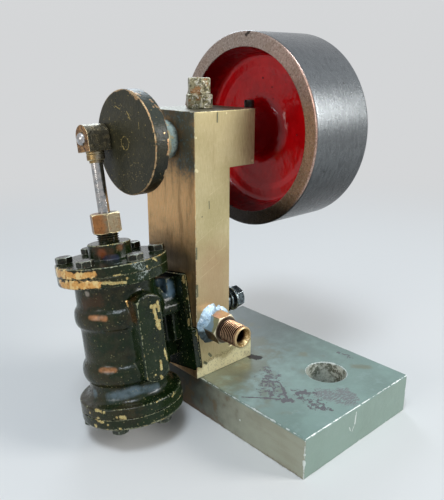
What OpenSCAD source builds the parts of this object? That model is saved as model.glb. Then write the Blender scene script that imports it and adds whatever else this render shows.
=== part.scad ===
// Small vertical steam engine with a rocking cylinder, on a flat base plate.
// Origin: middle of the base plate's underside. +X points from the crank disc
// to the flywheel, +Y to the back and +Z up. All sizes are in millimetres.

/* [Base plate] */
// Width of the base plate, from the cylinder side to the flywheel side
base_w = 46.7; // [42:0.1:54]
// Length of the base plate, from front to back
base_l = 70.2; // [60:0.1:84]
// Thickness of the base plate
base_t = 12; // [11:0.1:16]
// Worn chamfer along the upper edges of the base plate
base_edge = 0.5; // [0.1:0.1:1]
// Diameter of the fixing hole
base_hole_d = 12; // [5:0.1:16]
// Fixing hole centre from the flywheel side of the plate
base_hole_side = 16.5; // [11:0.1:20]
// Fixing hole centre from the front edge of the plate
base_hole_front = 17.3; // [11:0.1:24]

/* [Standard] */
// Height of the standard above the base plate
std_h = 76.2; // [74:0.1:84]
// Depth of the standard's square bar, from front to back
std_d = 22; // [20:0.1:26]
// Length of the bearing head along the shaft
head_l = 22; // [17:0.1:26]
// Height of the bearing head
head_h = 15.4; // [11:0.1:20]
// Thickness of the column along the shaft
column_l = 12.5; // [9:0.1:15]
// Height of the foot
foot_h = 6.4; // [3:0.1:9]
// Overhang of the standard beyond the cylinder side of the base plate
std_overhang = 1.2; // [0:0.1:3]
// Middle of the standard behind the middle of the base plate
std_back = 15.8; // [8:0.1:20]

/* [Crankshaft] */
// Diameter of the shaft
shaft_d = 6.35; // [4:0.05:8]
// Radial running clearance of the shaft, the pivot and the piston rod
run_clear = 0.05; // [0.02:0.01:0.09]
// Crank throw, half the stroke
throw = 9.5; // [7:0.1:10]
// Crank angle at rest, from level at the back towards the top
crank_angle = 4.6; // [0:0.1:10]
// Diameter of the crank disc
disc_d = 26.8; // [25:0.1:32]
// Thickness of the crank disc
disc_t = 4.25; // [3:0.05:6]
// Worn chamfer on the crank disc
disc_edge = 0.4; // [0.1:0.05:0.8]
// Diameter of the collar behind the crank disc
collar_d = 10.6; // [9:0.1:13]
// Running gap at the collar's end
collar_gap = 0.3; // [0.1:0.05:0.8]
// Shaft shown beyond the flywheel hub
shaft_tail = 0.8; // [0.2:0.1:4]

/* [Flywheel] */
// Diameter of the flywheel
wheel_d = 57.1; // [50:0.1:62]
// Width of the flywheel's rim
wheel_w = 23.5; // [18:0.1:28]
// Gap between the head and the rim's near face
wheel_gap = 5.9; // [4:0.1:8]
// Thickness of the rim at its mouth
rim_t = 4.3; // [3:0.1:6]
// Draft of the rim's inner wall, from the mouth to the web
rim_draft = 2; // [0.5:0.1:3]
// Fillet between the rim's inner wall and the web
rim_fillet = 1; // [0.3:0.1:1.5]
// Chamfer on the rim's outer corners
rim_edge = 0.6; // [0.2:0.1:1.2]
// Thickness of the web beside the rim
web_t = 6.4; // [4:0.1:9]
// Depth of the sunk middle of the web, on each side
web_sink = 0.7; // [0.3:0.1:1.2]
// Diameter of the sunk middle of the web
web_sink_d = 35.4; // [30:0.1:38]
// Diameter of the hub
hub_d = 14.4; // [11:0.1:18]
// Running gap between the hub and the head
hub_gap = 1; // [0.3:0.1:2]
// Radius of the fillet between the hub and the web
hub_fillet = 6; // [2:0.1:7]
// Diameter of the hub's set screw
hub_screw_d = 3; // [2:0.1:4]
// Set screw head above the hub
hub_screw_h = 2; // [1:0.1:3]
// Set screw from the hub's near end
hub_screw_in = 7.5; // [3:0.1:9]
// Turn of the set screw from the top towards the front
hub_screw_turn = 0; // [0:1:90]

/* [Cylinder] */
// Height of the cylinder's pivot above the base plate
pivot_h = 15.7; // [15:0.1:18]
// Room between the top flange and the standard's side face
flange_room = 2.6; // [2:0.1:5]
// Outer diameter of the barrel
barrel_d = 21.9; // [20:0.1:24]
// Thickness of the barrel's wall
barrel_wall = 3.45; // [2.5:0.05:4]
// Height of the two beads above the barrel
bead_rise = 1.2; // [0.6:0.1:2]
// Length of each bead along the barrel
bead_h = 5.4; // [3:0.1:6]
// Middle of the lower bead below the pivot
bead_drop = 7.6; // [6:0.1:9]
// Middle of the upper bead below the top flange
bead_top_gap = 9.55; // [6:0.05:11]
// Diameter of the top flange
top_flange_d = 29.8; // [28:0.1:32]
// Thickness of the top flange
top_flange_t = 2.8; // [2:0.1:4]
// Diameter of the bottom flange
low_flange_d = 28.4; // [27:0.1:32]
// Thickness of the bottom flange
low_flange_t = 3.1; // [2:0.1:4]
// Upper face of the bottom flange below the pivot
low_flange_drop = 15.2; // [14:0.1:17]
// Fillet between the bottom flange and the barrel
low_fillet = 2; // [0.5:0.1:3]
// Thickness of the bottom cover
low_cover_t = 3.1; // [2:0.1:3.6]
// Rounding of the bottom cover's lower edge
low_cover_edge = 1; // [0.2:0.1:1.5]

/* [Pads and port face] */
// Width of the flat pads at the front and the back
pad_w = 7.2; // [5:0.1:9]
// Height of each pad's face above the barrel
pad_rise = 4.45; // [3:0.05:6]
// Top corners of the pads below the top flange
pad_top_gap = 4.95; // [4:0.05:8]
// Bottom corners of the pads below the pivot
pad_drop = 8.2; // [5:0.1:10]
// Rise of the pads' arched ends
pad_arch = 1.6; // [0.5:0.1:2]
// Width of the neck between the barrel and the port plate
neck_w = 7.4; // [5:0.1:9]
// Bottom of the neck below the pivot
neck_drop = 9.5; // [6:0.1:11]
// Width of the block behind the upper part of the port plate
block_w = 13; // [11:0.1:15]
// Thickness of the block
block_t = 3; // [2:0.1:4]
// Top of the block below the top of the port plate
block_gap = 0.2; // [0.1:0.1:1]
// Width of the shelf that carries the block
shelf_w = 15.2; // [14:0.1:17]
// Top of the shelf above the pivot
shelf_top = 8.2; // [6:0.1:9]
// Bottom of the shelf above the pivot
shelf_low = 4; // [2:0.1:5]
// Thickness of the bar under the shelf
bar_t = 2.6; // [1:0.1:3]
// Bottom of the bar below the pivot
bar_drop = 4.5; // [2:0.1:7]
// Width of the port plate's upper part
plate_w = 17.8; // [16:0.1:20]
// Thickness of the port plate
plate_t = 2.2; // [1.6:0.1:2.8]
// Top of the port plate below the top flange
plate_top_gap = 2.95; // [1:0.05:6]
// Step between the port plate's two parts below the pivot
plate_step = 1.6; // [1:0.1:3]
// Width of the port plate's lower part
plate_low_w = 21.8; // [20:0.1:25]
// Bottom of the port plate below the pivot
plate_drop = 12.8; // [11:0.1:14]
// Oil film between the port plate and the standard
port_film = 0.05; // [0.02:0.01:0.2]

/* [Cover and gland] */
// Edge of the top cover beyond the flange, all round
cover_proud = 0.1; // [0.1:0.1:0.6]
// Thickness of the top cover
cover_t = 2.6; // [2:0.1:4]
// Depth of each cover's spigot in the bore
spigot_h = 2.5; // [1:0.1:3]
// Diameter of the boss on the cover
boss_d = 11.7; // [10:0.1:14]
// Height of the boss on the cover
boss_h = 4.2; // [2:0.1:5]
// Diameter of the threaded neck under the gland nut
gland_neck_d = 6; // [5:0.1:7]
// Height of the threaded neck that shows
gland_neck_h = 2.5; // [1:0.1:4]
// Width across the flats of the gland nut
gland_af = 7.4; // [6.5:0.1:9]
// Height of the gland nut
gland_h = 5.4; // [4:0.1:7]
// Turn of the gland nut on the rod
gland_turn = 8; // [0:1:60]
// Room between the gland nut and the rod collar at the lowest point
low_point_gap = 2.9; // [0.5:0.1:4]
// Middle of the bolts from the edge of the top cover or the bottom flange
bolt_inset = 2.55; // [2.3:0.05:2.8]
// Number of bolts in each cover
bolt_count = 6; // [4:1:8]
// Width across the flats of a bolt head
bolt_af = 4.1; // [3:0.1:4.4]
// Height of a bolt head
bolt_h = 1.8; // [1:0.1:3]
// Height of a bolt head under the bottom cover
low_bolt_h = 1.3; // [0.5:0.1:1.8]
// Turn of the top bolts
bolt_turn = 28.5; // [0:0.5:60]
// Turn of the bottom bolts
low_bolt_turn = 39; // [0:1:60]

/* [Piston and rod] */
// Diameter of the piston rod
rod_d = 3.2; // [2.5:0.1:4]
// Height of the piston
piston_h = 10; // [6:0.1:12]
// Radial clearance of the piston
piston_clear = 0.05; // [0.02:0.01:0.09]
// Diameter of the collar under the big end
rod_collar_d = 4.8; // [4.2:0.1:6]
// Height of the collar under the big end
rod_collar_h = 2.3; // [1.5:0.1:4]
// Width of the big end
big_end_w = 6.3; // [5.6:0.1:7]
// Length of the big end along the crank pin
big_end_l = 6.6; // [5:0.1:7]
// Bottom of the big end below the crank pin
big_end_drop = 3.45; // [2.6:0.05:4]
// Middle of the big end's round top above the crank pin
big_end_rise = 0.5; // [0:0.1:1]
// Diameter of the crank pin
pin_d = 3.4; // [2.5:0.1:4]
// Domed end of the crank pin beyond the big end
pin_dome = 1.3; // [0.3:0.1:1.6]
// Running gap between the big end and the crank disc
disc_clear = 0.35; // [0.3:0.05:1]

/* [Pivot] */
// Diameter of the pivot bolt
pivot_d = 3.6; // [3:0.1:5]
// Length of the spring on the pivot bolt
spring_l = 10.5; // [8:0.1:14]
// Outer diameter of the spring
spring_d = 7.4; // [7:0.1:9]
// Diameter of the spring's wire
spring_wire = 0.9; // [0.6:0.1:1]
// Turns of the spring
spring_turns = 6; // [4:1:7]
// Edge of the washer beyond the spring, all round
washer_lip = 0.2; // [0.1:0.1:0.8]
// Thickness of the washer
washer_t = 0.7; // [0.4:0.1:1.2]
// Width across the flats of the pivot nut
nut_af = 6.4; // [6:0.1:8]
// Height of the pivot nut
nut_h = 3; // [2:0.1:4]
// Pivot bolt shown beyond the nut
pivot_tail = 0.8; // [0.2:0.1:2]

/* [Steam nipple] */
// Nipple axis above the base plate
nipple_h = 15.9; // [12:0.1:18]
// Nipple axis from the standard's side face
nipple_x = 6.25; // [5:0.05:7]
// Outside diameter of the nipple's thread
nipple_d = 6.35; // [5:0.05:8]
// Bore of the nipple
nipple_bore_d = 3.4; // [2:0.1:4]
// Width of the seat at the nipple's mouth
nipple_seat_d = 5.1; // [4.2:0.1:6]
// Depth of the seat at the nipple's mouth
nipple_seat_h = 1.6; // [0.5:0.1:2.5]
// Length of the threaded part
nipple_l = 7; // [5:0.1:12]
// Width across the flats of the nipple's hexagon
nipple_af = 7.9; // [7:0.1:10]
// Length of the nipple's hexagon
nipple_hex_l = 5.6; // [3:0.1:7]
// Solder round the nipple's root beyond the corners of its hexagon
solder_lip = 1.3; // [0.3:0.1:1.5]
// Thickness of the solder
solder_t = 1.4; // [0.4:0.1:2.4]

/* [Oil cup] */
// Width across the flats of the oil cup's lower part
oil_low_af = 6.8; // [6:0.1:8]
// Height of the oil cup's lower part
oil_low_h = 3.8; // [2.5:0.1:5]
// Width across the flats of the oil cup's upper part
oil_top_af = 5.8; // [5:0.1:7]
// Height of the oil cup's upper part
oil_top_h = 4.3; // [3:0.1:6]
// Bore of the oil cup
oil_bore_d = 3.4; // [2:0.1:4]
// Bore of the oil way down to the shaft
oil_way_d = 1.6; // [1:0.1:2]

/* [Hidden] */
$fn = 96;

// Small overlap that lets a cut pass right through a face
cut = 1;
// Overlap that joins two pieces of one casting
overlap = 0.01;
// Steps along a quarter of a rounded corner
quarter_steps = 8;
// Sides of the wire of the spring
wire_sides = 8;
// Rings in each turn of the spring
turn_steps = 12;
// Room round the pivot bolt inside the spring's washer
washer_clear = 0.1;
// Chamfer on small turned pieces
turned_edge = 0.3;
// Chamfer on the corners of nuts and bolt heads
nut_edge = 0.4;
// Chamfer on the ends of the hub
hub_edge = 0.4;
// Slope of the step round the sunk middle of the web
sink_slope = 0.3;
// Chamfer on the disc's collar
collar_edge = 0.6;
// Width and depth of the slot in the hub's set screw
slot_w = 0.5;
slot_h = 0.6;
// Room between the set screw and the shaft
screw_clear = 0.1;
// Slope on the top of the shelf, out from the block to the shelf's sides
shelf_slope = 2;
// Height of the gusset over the shelf, at the barrel and at the block
gusset_h = 4;
gusset_foot = 0.5;
// Reach of the gusset into the barrel's wall
wall_bite = 1;
// Steps over each bead
bead_steps = 12;
// Turn of a bolt's hexagon from pointing outwards
bolt_spin = 30;

// The standard's side face is x = 0 in the standard's own measures
side_x = -base_w / 2 - std_overhang;
head_x = side_x + head_l;
column_x = side_x + column_l;
shaft_z = base_t + std_h - head_h / 2;
pivot_z = base_t + pivot_h;

// Sizes that follow from those above
cyl_out = top_flange_d / 2 + flange_room;
bore_d = barrel_d - 2 * barrel_wall;
cover_d = top_flange_d + 2 * cover_proud;
pad_out = barrel_d / 2 + pad_rise;
washer_d = spring_d + 2 * washer_lip;
solder_d = nipple_af / cos(30) + 2 * solder_lip;

// The big end's middle is in line with the piston rod, so the collar fills what is left
disc_gap = cyl_out - big_end_l / 2 - disc_clear - disc_t;

// Places along the shaft
disc_back_x = side_x - disc_gap;
disc_front_x = disc_back_x - disc_t;
rim_near_x = head_x + wheel_gap;
wheel_mid_x = rim_near_x + wheel_w / 2;
hub_half = wheel_mid_x - head_x - hub_gap;
shaft_end_x = wheel_mid_x + hub_half + shaft_tail;
hub_screw_x = head_x + hub_gap + hub_screw_in;

// The line through the pivot and the crank pin, measured from the pivot
rise = shaft_z - pivot_z;
pin_y = throw * cos(crank_angle);
pin_z = rise + throw * sin(crank_angle);
tilt = atan2(pin_y, pin_z);
pin_s = sqrt(pin_y * pin_y + pin_z * pin_z);

// Heights along the cylinder's axis, measured from the pivot
big_end_s = pin_s - big_end_drop;
rod_collar_s = big_end_s - rod_collar_h;
gland_top_s = rise - throw - big_end_drop - rod_collar_h - low_point_gap;
gland_s = gland_top_s - gland_h;
boss_top_s = gland_s - gland_neck_h;
cover_top_s = boss_top_s - boss_h;
cover_s = cover_top_s - cover_t;
top_flange_s = cover_s - top_flange_t;
bead_top_s = top_flange_s - bead_top_gap;
pad_top_s = top_flange_s - pad_top_gap;
plate_top_s = top_flange_s - plate_top_gap;
block_top_s = plate_top_s - block_gap;
low_cover_s = -low_flange_drop - low_flange_t;
low_face_s = low_cover_s - low_cover_t;
room_mid_s = (cover_s + low_cover_s) / 2;
piston_s = room_mid_s + pin_s - rise - piston_h / 2;

// The big end sits between the crank disc and the dome of the pin
big_end_x = disc_front_x - disc_clear;

// Back of the port plate, from the cylinder's axis
plate_back = cyl_out - plate_t;

function corner_r(af) = af / 2 / cos(30);

function arc_points(centre, r, from, to) = [
    for (i = [0:quarter_steps])
        let (a = from + (to - from) * i / quarter_steps)
        [centre[0] + r * cos(a), centre[1] + r * sin(a)]
];

// Turns a piece built round +Z so that it lies along +X from x
module along_x(x, y, z) {
    translate([x, y, z]) rotate([0, 90, 0]) children();
}

// Puts a piece built round +Z on the shaft's axis, from x
module on_shaft(x) {
    along_x(x, std_back, shaft_z) children();
}

// Puts a piece on the cylinder's tilted axis: x = 0 is the port face, z = 0 the pivot
module rocking() {
    translate([side_x, std_back, pivot_z]) rotate([-tilt, 0, 0]) children();
}

// Puts a round piece on the cylinder's axis, from height s
module on_cylinder(s) {
    rocking() translate([-cyl_out, 0, s]) children();
}

module hexagon(af, h) {
    cylinder(r = corner_r(af), h = h, $fn = 6);
}

// Hexagon whose two ends are turned to a cone, as a nut is
module turned_hexagon(af, h, edge) {
    intersection() {
        hexagon(af, h);
        rotate_extrude() polygon([
            [0, 0], [af / 2, 0], [af / 2 + edge * 2, edge], [af / 2 + edge * 2, h - edge],
            [af / 2, h], [0, h]
        ]);
    }
}

module chamfered_disc(d, h, edge) {
    rotate_extrude() polygon([
        [0, 0], [d / 2 - edge, 0], [d / 2, edge], [d / 2, h - edge], [d / 2 - edge, h], [0, h]
    ]);
}

module base_plate() {
    color([0.56, 0.66, 0.62]) difference() {
        rotate([90, 0, 0]) translate([0, 0, -base_l / 2]) linear_extrude(base_l) polygon([
            [-base_w / 2, 0], [base_w / 2, 0], [base_w / 2, base_t - base_edge],
            [base_w / 2 - base_edge, base_t], [-base_w / 2 + base_edge, base_t],
            [-base_w / 2, base_t - base_edge]
        ]);
        translate([base_w / 2 - base_hole_side, base_hole_front - base_l / 2, -cut])
            cylinder(d = base_hole_d, h = base_t + 2 * cut);
    }
}

module standard() {
    color([0.74, 0.70, 0.48]) difference() {
        translate([side_x, std_back + std_d / 2, base_t]) rotate([90, 0, 0])
            linear_extrude(std_d) polygon([
                [0, 0], [head_l, 0], [head_l, foot_h], [column_l, foot_h],
                [column_l, std_h - head_h], [head_l, std_h - head_h],
                [head_l, std_h], [0, std_h]
            ]);
        on_shaft(side_x - cut) cylinder(d = shaft_d + 2 * run_clear, h = head_l + 2 * cut);
        along_x(side_x - cut, std_back, pivot_z)
            cylinder(d = pivot_d + 2 * run_clear, h = column_l + 2 * cut);
        translate([side_x + head_l / 2, std_back, shaft_z])
            cylinder(d = oil_way_d, h = head_h);
    }
}

module oil_cup_base() {
    color([0.60, 0.58, 0.46]) translate([side_x + head_l / 2, std_back, base_t + std_h])
        difference() {
            turned_hexagon(oil_low_af, oil_low_h, turned_edge);
            translate([0, 0, -cut]) cylinder(d = oil_way_d, h = oil_low_h + 2 * cut);
        }
}

module oil_cup_top() {
    color([0.62, 0.60, 0.48])
        translate([side_x + head_l / 2, std_back, base_t + std_h + oil_low_h]) difference() {
            turned_hexagon(oil_top_af, oil_top_h, turned_edge);
            translate([0, 0, -cut]) cylinder(d = oil_bore_d, h = oil_top_h + 2 * cut);
        }
}

// Puts a piece built round +Z on the nipple's axis, from the standard's front face
module on_nipple() {
    translate([side_x + nipple_x, std_back - std_d / 2, base_t + nipple_h])
        rotate([90, 0, 0]) children();
}

module steam_nipple() {
    length = nipple_hex_l + nipple_l;
    color([0.70, 0.48, 0.30]) on_nipple() difference() {
        union() {
            turned_hexagon(nipple_af, nipple_hex_l, nut_edge);
            chamfered_disc(nipple_d, length, turned_edge);
        }
        translate([0, 0, -cut]) cylinder(d = nipple_bore_d, h = length + 2 * cut);
        translate([0, 0, length - nipple_seat_h])
            cylinder(d1 = nipple_bore_d, d2 = nipple_seat_d, h = nipple_seat_h);
        translate([0, 0, length - overlap]) cylinder(d = nipple_seat_d, h = cut);
    }
}

module nipple_solder() {
    color([0.78, 0.80, 0.82]) on_nipple() difference() {
        cylinder(d1 = solder_d, d2 = solder_d - solder_t, h = solder_t);
        translate([0, 0, -cut]) hexagon(nipple_af, solder_t + 2 * cut);
    }
}

module crankshaft() {
    color([0.55, 0.55, 0.55]) on_shaft(disc_front_x)
        chamfered_disc(shaft_d, shaft_end_x - disc_front_x, turned_edge);
}

module crank_disc() {
    color([0.20, 0.21, 0.16]) on_shaft(disc_front_x) difference() {
        chamfered_disc(disc_d, disc_t, disc_edge);
        translate([0, 0, -cut]) cylinder(d = shaft_d, h = disc_t + 2 * cut);
    }
}

module disc_collar() {
    color([0.55, 0.65, 0.62]) on_shaft(disc_back_x) difference() {
        chamfered_disc(collar_d, disc_gap - collar_gap, collar_edge);
        translate([0, 0, -cut]) cylinder(d = shaft_d, h = disc_gap + 2 * cut);
    }
}

// Half of the flywheel's section, from the hub to the rim, on one side of its middle
function wheel_side() =
    let (
        rim_r = wheel_d / 2,
        mouth_r = rim_r - rim_t,
        foot_r = mouth_r - rim_draft,
        face = wheel_w / 2,
        web = web_t / 2,
        sunk = web - web_sink,
        hub_r = hub_d / 2
    )
    concat(
        [[shaft_d / 2, hub_half], [hub_r - hub_edge, hub_half], [hub_r, hub_half - hub_edge]],
        arc_points([hub_r + hub_fillet, sunk + hub_fillet], hub_fillet, 180, 270),
        [[web_sink_d / 2 - sink_slope, sunk], [web_sink_d / 2 + sink_slope, web]],
        arc_points([foot_r - rim_fillet, web + rim_fillet], rim_fillet, 270, 350),
        [[mouth_r, face], [rim_r - rim_edge, face], [rim_r, face - rim_edge]]
    );

module flywheel() {
    side = wheel_side();
    far_side = [for (i = [len(side) - 1:-1:0]) [side[i][0], -side[i][1]]];
    color([0.62, 0.08, 0.10]) on_shaft(wheel_mid_x) difference() {
        rotate_extrude() polygon(concat(side, far_side));
        hub_screw_place() cylinder(d = hub_screw_d, h = hub_d);
    }
}

// Puts a piece built round +Z on the set screw's axis, in the shaft's own frame
module hub_screw_place() {
    translate([0, 0, hub_screw_x - wheel_mid_x])
        rotate([0, 0, 180 - hub_screw_turn]) rotate([0, 90, 0]) children();
}

module hub_screw() {
    foot = shaft_d / 2 + screw_clear;
    top = hub_d / 2 + hub_screw_h;
    color([0.12, 0.11, 0.10]) on_shaft(wheel_mid_x) hub_screw_place() difference() {
        translate([0, 0, foot]) chamfered_disc(hub_screw_d, top - foot, turned_edge);
        translate([-hub_screw_d, -slot_w / 2, top - slot_h])
            cube([2 * hub_screw_d, slot_w, slot_h + cut]);
    }
}

// Section of the barrel with its two flanges and two beads
function barrel_side() =
    let (
        wall_r = barrel_d / 2,
        bead_points = function (s) [
            for (i = [0:bead_steps]) let (a = -90 + 180 * i / bead_steps)
                [wall_r + bead_rise * cos(a), s + bead_h / 2 * sin(a)]
        ]
    )
    concat(
        [[0, low_cover_s], [low_flange_d / 2, low_cover_s]],
        [[low_flange_d / 2, -low_flange_drop - turned_edge]],
        [[low_flange_d / 2 - turned_edge, -low_flange_drop]],
        arc_points([wall_r + low_fillet, -low_flange_drop + low_fillet], low_fillet, 270, 180),
        bead_points(-bead_drop),
        bead_points(bead_top_s),
        [[wall_r, top_flange_s], [top_flange_d / 2, top_flange_s], [top_flange_d / 2, cover_s]],
        [[0, cover_s]]
    );

// Outline of a pad's face, with an arched top and bottom
module pad_outline() {
    half = pad_w / 2;
    arch_r = (half * half + pad_arch * pad_arch) / 2 / pad_arch;
    union() {
        translate([-half, -pad_drop]) square([pad_w, pad_top_s + pad_drop]);
        intersection() {
            translate([0, pad_top_s + pad_arch - arch_r]) circle(r = arch_r);
            translate([-half, pad_top_s - overlap]) square([pad_w, pad_arch + cut]);
        }
        intersection() {
            translate([0, arch_r - pad_drop - pad_arch]) circle(r = arch_r);
            translate([-half, -pad_drop - pad_arch - cut])
                square([pad_w, pad_arch + cut + overlap]);
        }
    }
}

// Block, shelf and bar that carry the port plate, with hollows at their sides
module port_casting() {
    root = bore_d / 4;
    translate([root, -neck_w / 2, -neck_drop])
        cube([plate_back - root, neck_w, neck_drop + block_top_s]);
    translate([plate_back - block_t, -block_w / 2, shelf_low])
        cube([block_t, block_w, block_top_s - shelf_low]);
    translate([plate_back - bar_t, -block_w / 2, -bar_drop])
        cube([bar_t, block_w, bar_drop + shelf_low + overlap]);
    translate([root, 0, 0]) rotate([90, 0, 90]) linear_extrude(plate_back - root) polygon([
        [-shelf_w / 2, shelf_low], [shelf_w / 2, shelf_low],
        [shelf_w / 2, shelf_top - shelf_slope], [block_w / 2, shelf_top],
        [-block_w / 2, shelf_top], [-shelf_w / 2, shelf_top - shelf_slope]
    ]);
    translate([0, block_w / 2, 0]) rotate([90, 0, 0]) linear_extrude(block_w) polygon([
        [root, shelf_top - overlap], [plate_back - block_t, shelf_top - overlap],
        [plate_back - block_t, shelf_top + gusset_foot],
        [barrel_d / 2 - wall_bite, shelf_top + gusset_h], [root, shelf_top + gusset_h]
    ]);
}

module cylinder_casting() {
    rotate_extrude() polygon(barrel_side());
    translate([0, pad_out, 0]) rotate([90, 0, 0]) linear_extrude(2 * pad_out) pad_outline();
    port_casting();
}

module cylinder_piece() {
    color([0.14, 0.19, 0.14]) on_cylinder(0) difference() {
        cylinder_casting();
        translate([0, 0, low_cover_s - cut])
            cylinder(d = bore_d, h = cover_s - low_cover_s + 2 * cut);
    }
}

module port_plate() {
    color([0.15, 0.22, 0.17]) rocking() difference() {
        translate([-plate_t, 0, 0]) rotate([90, 0, 90]) linear_extrude(plate_t - port_film)
            polygon([
                [-plate_low_w / 2, -plate_drop], [plate_low_w / 2, -plate_drop],
                [plate_low_w / 2, -plate_step], [plate_w / 2, -plate_step],
                [plate_w / 2, plate_top_s], [-plate_w / 2, plate_top_s],
                [-plate_w / 2, -plate_step], [-plate_low_w / 2, -plate_step]
            ]);
        along_x(-plate_t - cut, 0, 0) cylinder(d = pivot_d, h = plate_t + 2 * cut);
    }
}

module top_cover() {
    color([0.16, 0.19, 0.15]) on_cylinder(0) difference() {
        union() {
            translate([0, 0, cover_s - spigot_h])
                cylinder(d = bore_d, h = spigot_h + overlap);
            translate([0, 0, cover_s]) chamfered_disc(cover_d, cover_t, turned_edge);
            translate([0, 0, cover_top_s - overlap])
                cylinder(d = boss_d, h = boss_h + overlap);
            translate([0, 0, boss_top_s - overlap])
                cylinder(d = gland_neck_d, h = gland_neck_h + overlap);
        }
        translate([0, 0, cover_s - spigot_h - cut])
            cylinder(d = rod_d + 2 * run_clear, h = gland_top_s);
    }
}

module gland_nut() {
    color([0.66, 0.47, 0.22]) on_cylinder(gland_s) difference() {
        rotate([0, 0, gland_turn]) turned_hexagon(gland_af, gland_h, nut_edge);
        translate([0, 0, -cut]) cylinder(d = rod_d + 2 * run_clear, h = gland_h + 2 * cut);
    }
}

// Bolt heads on a circle set in from an edge, standing on z = 0
module bolt_ring(edge_d, h, turn) {
    for (i = [0:bolt_count - 1])
        rotate([0, 0, turn + 360 * i / bolt_count])
            translate([edge_d / 2 - bolt_inset, 0, 0]) rotate([0, 0, bolt_spin])
                turned_hexagon(bolt_af, h, nut_edge / 2);
}

module cover_bolts() {
    color([0.18, 0.19, 0.17]) on_cylinder(cover_top_s) bolt_ring(cover_d, bolt_h, bolt_turn);
}

module bottom_cover() {
    edge = low_cover_edge;
    color([0.14, 0.19, 0.14]) on_cylinder(0) union() {
        rotate_extrude() polygon(concat(
            [[0, low_cover_s], [0, low_face_s]],
            arc_points([low_flange_d / 2 - edge, low_face_s + edge], edge, 270, 360),
            [[low_flange_d / 2, low_cover_s]]
        ));
        translate([0, 0, low_cover_s - overlap])
            cylinder(d = bore_d, h = spigot_h + overlap);
    }
}

module bottom_bolts() {
    color([0.18, 0.19, 0.17]) on_cylinder(low_face_s - low_bolt_h)
        bolt_ring(low_flange_d, low_bolt_h, low_bolt_turn);
}

module pivot_bolt() {
    length = column_l + spring_l + washer_t + nut_h + pivot_tail + plate_t;
    color([0.35, 0.35, 0.35]) rocking() along_x(-plate_t, 0, 0)
        chamfered_disc(pivot_d, length, turned_edge);
}

// Centre of the spring's wire after a share of its turns, and the ring of points there
function wire_ring(share) =
    let (
        r = (spring_d - spring_wire) / 2,
        a = 360 * spring_turns * share,
        x = column_l + spring_wire / 2 + (spring_l - spring_wire) * share
    )
    [
        for (i = [0:wire_sides - 1])
            let (b = 360 * i / wire_sides, rr = r + spring_wire / 2 * cos(b))
            [x + spring_wire / 2 * sin(b), rr * cos(a), rr * sin(a)]
    ];

module pivot_spring() {
    rings = spring_turns * turn_steps;
    points = [for (k = [0:rings]) each wire_ring(k / rings)];
    sides = [
        for (k = [0:rings - 1], i = [0:wire_sides - 1])
            let (j = (i + 1) % wire_sides, a = k * wire_sides)
            [a + i, a + wire_sides + i, a + wire_sides + j, a + j]
    ];
    first = [for (i = [0:wire_sides - 1]) i];
    last = [for (i = [wire_sides - 1:-1:0]) rings * wire_sides + i];
    color([0.10, 0.10, 0.11]) rocking() polyhedron(points, concat([first], sides, [last]));
}

module pivot_washer() {
    color([0.25, 0.25, 0.26]) rocking() along_x(column_l + spring_l, 0, 0) difference() {
        cylinder(d = washer_d, h = washer_t);
        translate([0, 0, -cut])
            cylinder(d = pivot_d + 2 * washer_clear, h = washer_t + 2 * cut);
    }
}

module pivot_nut() {
    color([0.30, 0.31, 0.32]) rocking() along_x(column_l + spring_l + washer_t, 0, 0)
        difference() {
            turned_hexagon(nut_af, nut_h, nut_edge);
            translate([0, 0, -cut]) cylinder(d = pivot_d, h = nut_h + 2 * cut);
        }
}

module piston_rod() {
    color([0.75, 0.76, 0.78]) on_cylinder(piston_s)
        cylinder(d = rod_d, h = rod_collar_s - piston_s);
}

module piston() {
    color([0.70, 0.58, 0.32]) on_cylinder(piston_s) difference() {
        chamfered_disc(bore_d - 2 * piston_clear, piston_h, turned_edge);
        translate([0, 0, -cut]) cylinder(d = rod_d, h = piston_h + 2 * cut);
    }
}

module rod_collar() {
    color([0.68, 0.52, 0.28]) on_cylinder(rod_collar_s)
        chamfered_disc(rod_collar_d, rod_collar_h, turned_edge);
}

// Puts a piece built round +Z on the crank pin's axis, from x measured off the port face
module on_pin(x) {
    rocking() along_x(x - side_x, 0, pin_s) children();
}

module big_end() {
    color([0.42, 0.33, 0.20]) difference() {
        union() {
            rocking() along_x(big_end_x - side_x - big_end_l, 0, pin_s + big_end_rise)
                cylinder(d = big_end_w, h = big_end_l);
            rocking() translate([big_end_x - side_x - big_end_l, -big_end_w / 2, big_end_s])
                cube([big_end_l, big_end_w, big_end_drop + big_end_rise]);
        }
        on_pin(big_end_x - big_end_l - cut) cylinder(d = pin_d, h = big_end_l + 2 * cut);
    }
}

module crank_pin() {
    color([0.72, 0.73, 0.74]) on_pin(big_end_x - big_end_l - pin_dome) rotate_extrude()
        polygon(concat(
            [[0, big_end_l + pin_dome], [pin_d / 2, big_end_l + pin_dome], [pin_d / 2, pin_dome]],
            [for (i = [1:quarter_steps]) let (a = 90 * i / quarter_steps)
                [pin_d / 2 * cos(a), pin_dome * (1 - sin(a))]]
        ));
}

base_plate();
standard();
oil_cup_base();
oil_cup_top();
steam_nipple();
nipple_solder();
crankshaft();
crank_disc();
disc_collar();
flywheel();
hub_screw();
cylinder_piece();  // cylinder
port_plate();
top_cover();
gland_nut();
cover_bolts();
bottom_cover();
bottom_bolts();
pivot_bolt();
pivot_spring();
pivot_washer();
pivot_nut();
piston_rod();
piston();
rod_collar();
big_end();
crank_pin();
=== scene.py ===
"""Finish and fine shapes of a small vertical steam engine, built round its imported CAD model.

Shapes are written in millimetres in the axes of the part that they belong to, and
are put into the engine's frame, in metres, when their mesh is made.
"""

from __future__ import annotations

import logging
import math
from dataclasses import dataclass, field
from enum import Enum
from typing import Any, Callable, Sequence

import bmesh
import bpy
import numpy as np
from bpy.types import Material, Mesh, Node, NodeSocket
from mathutils import Matrix, Vector, noise


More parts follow.
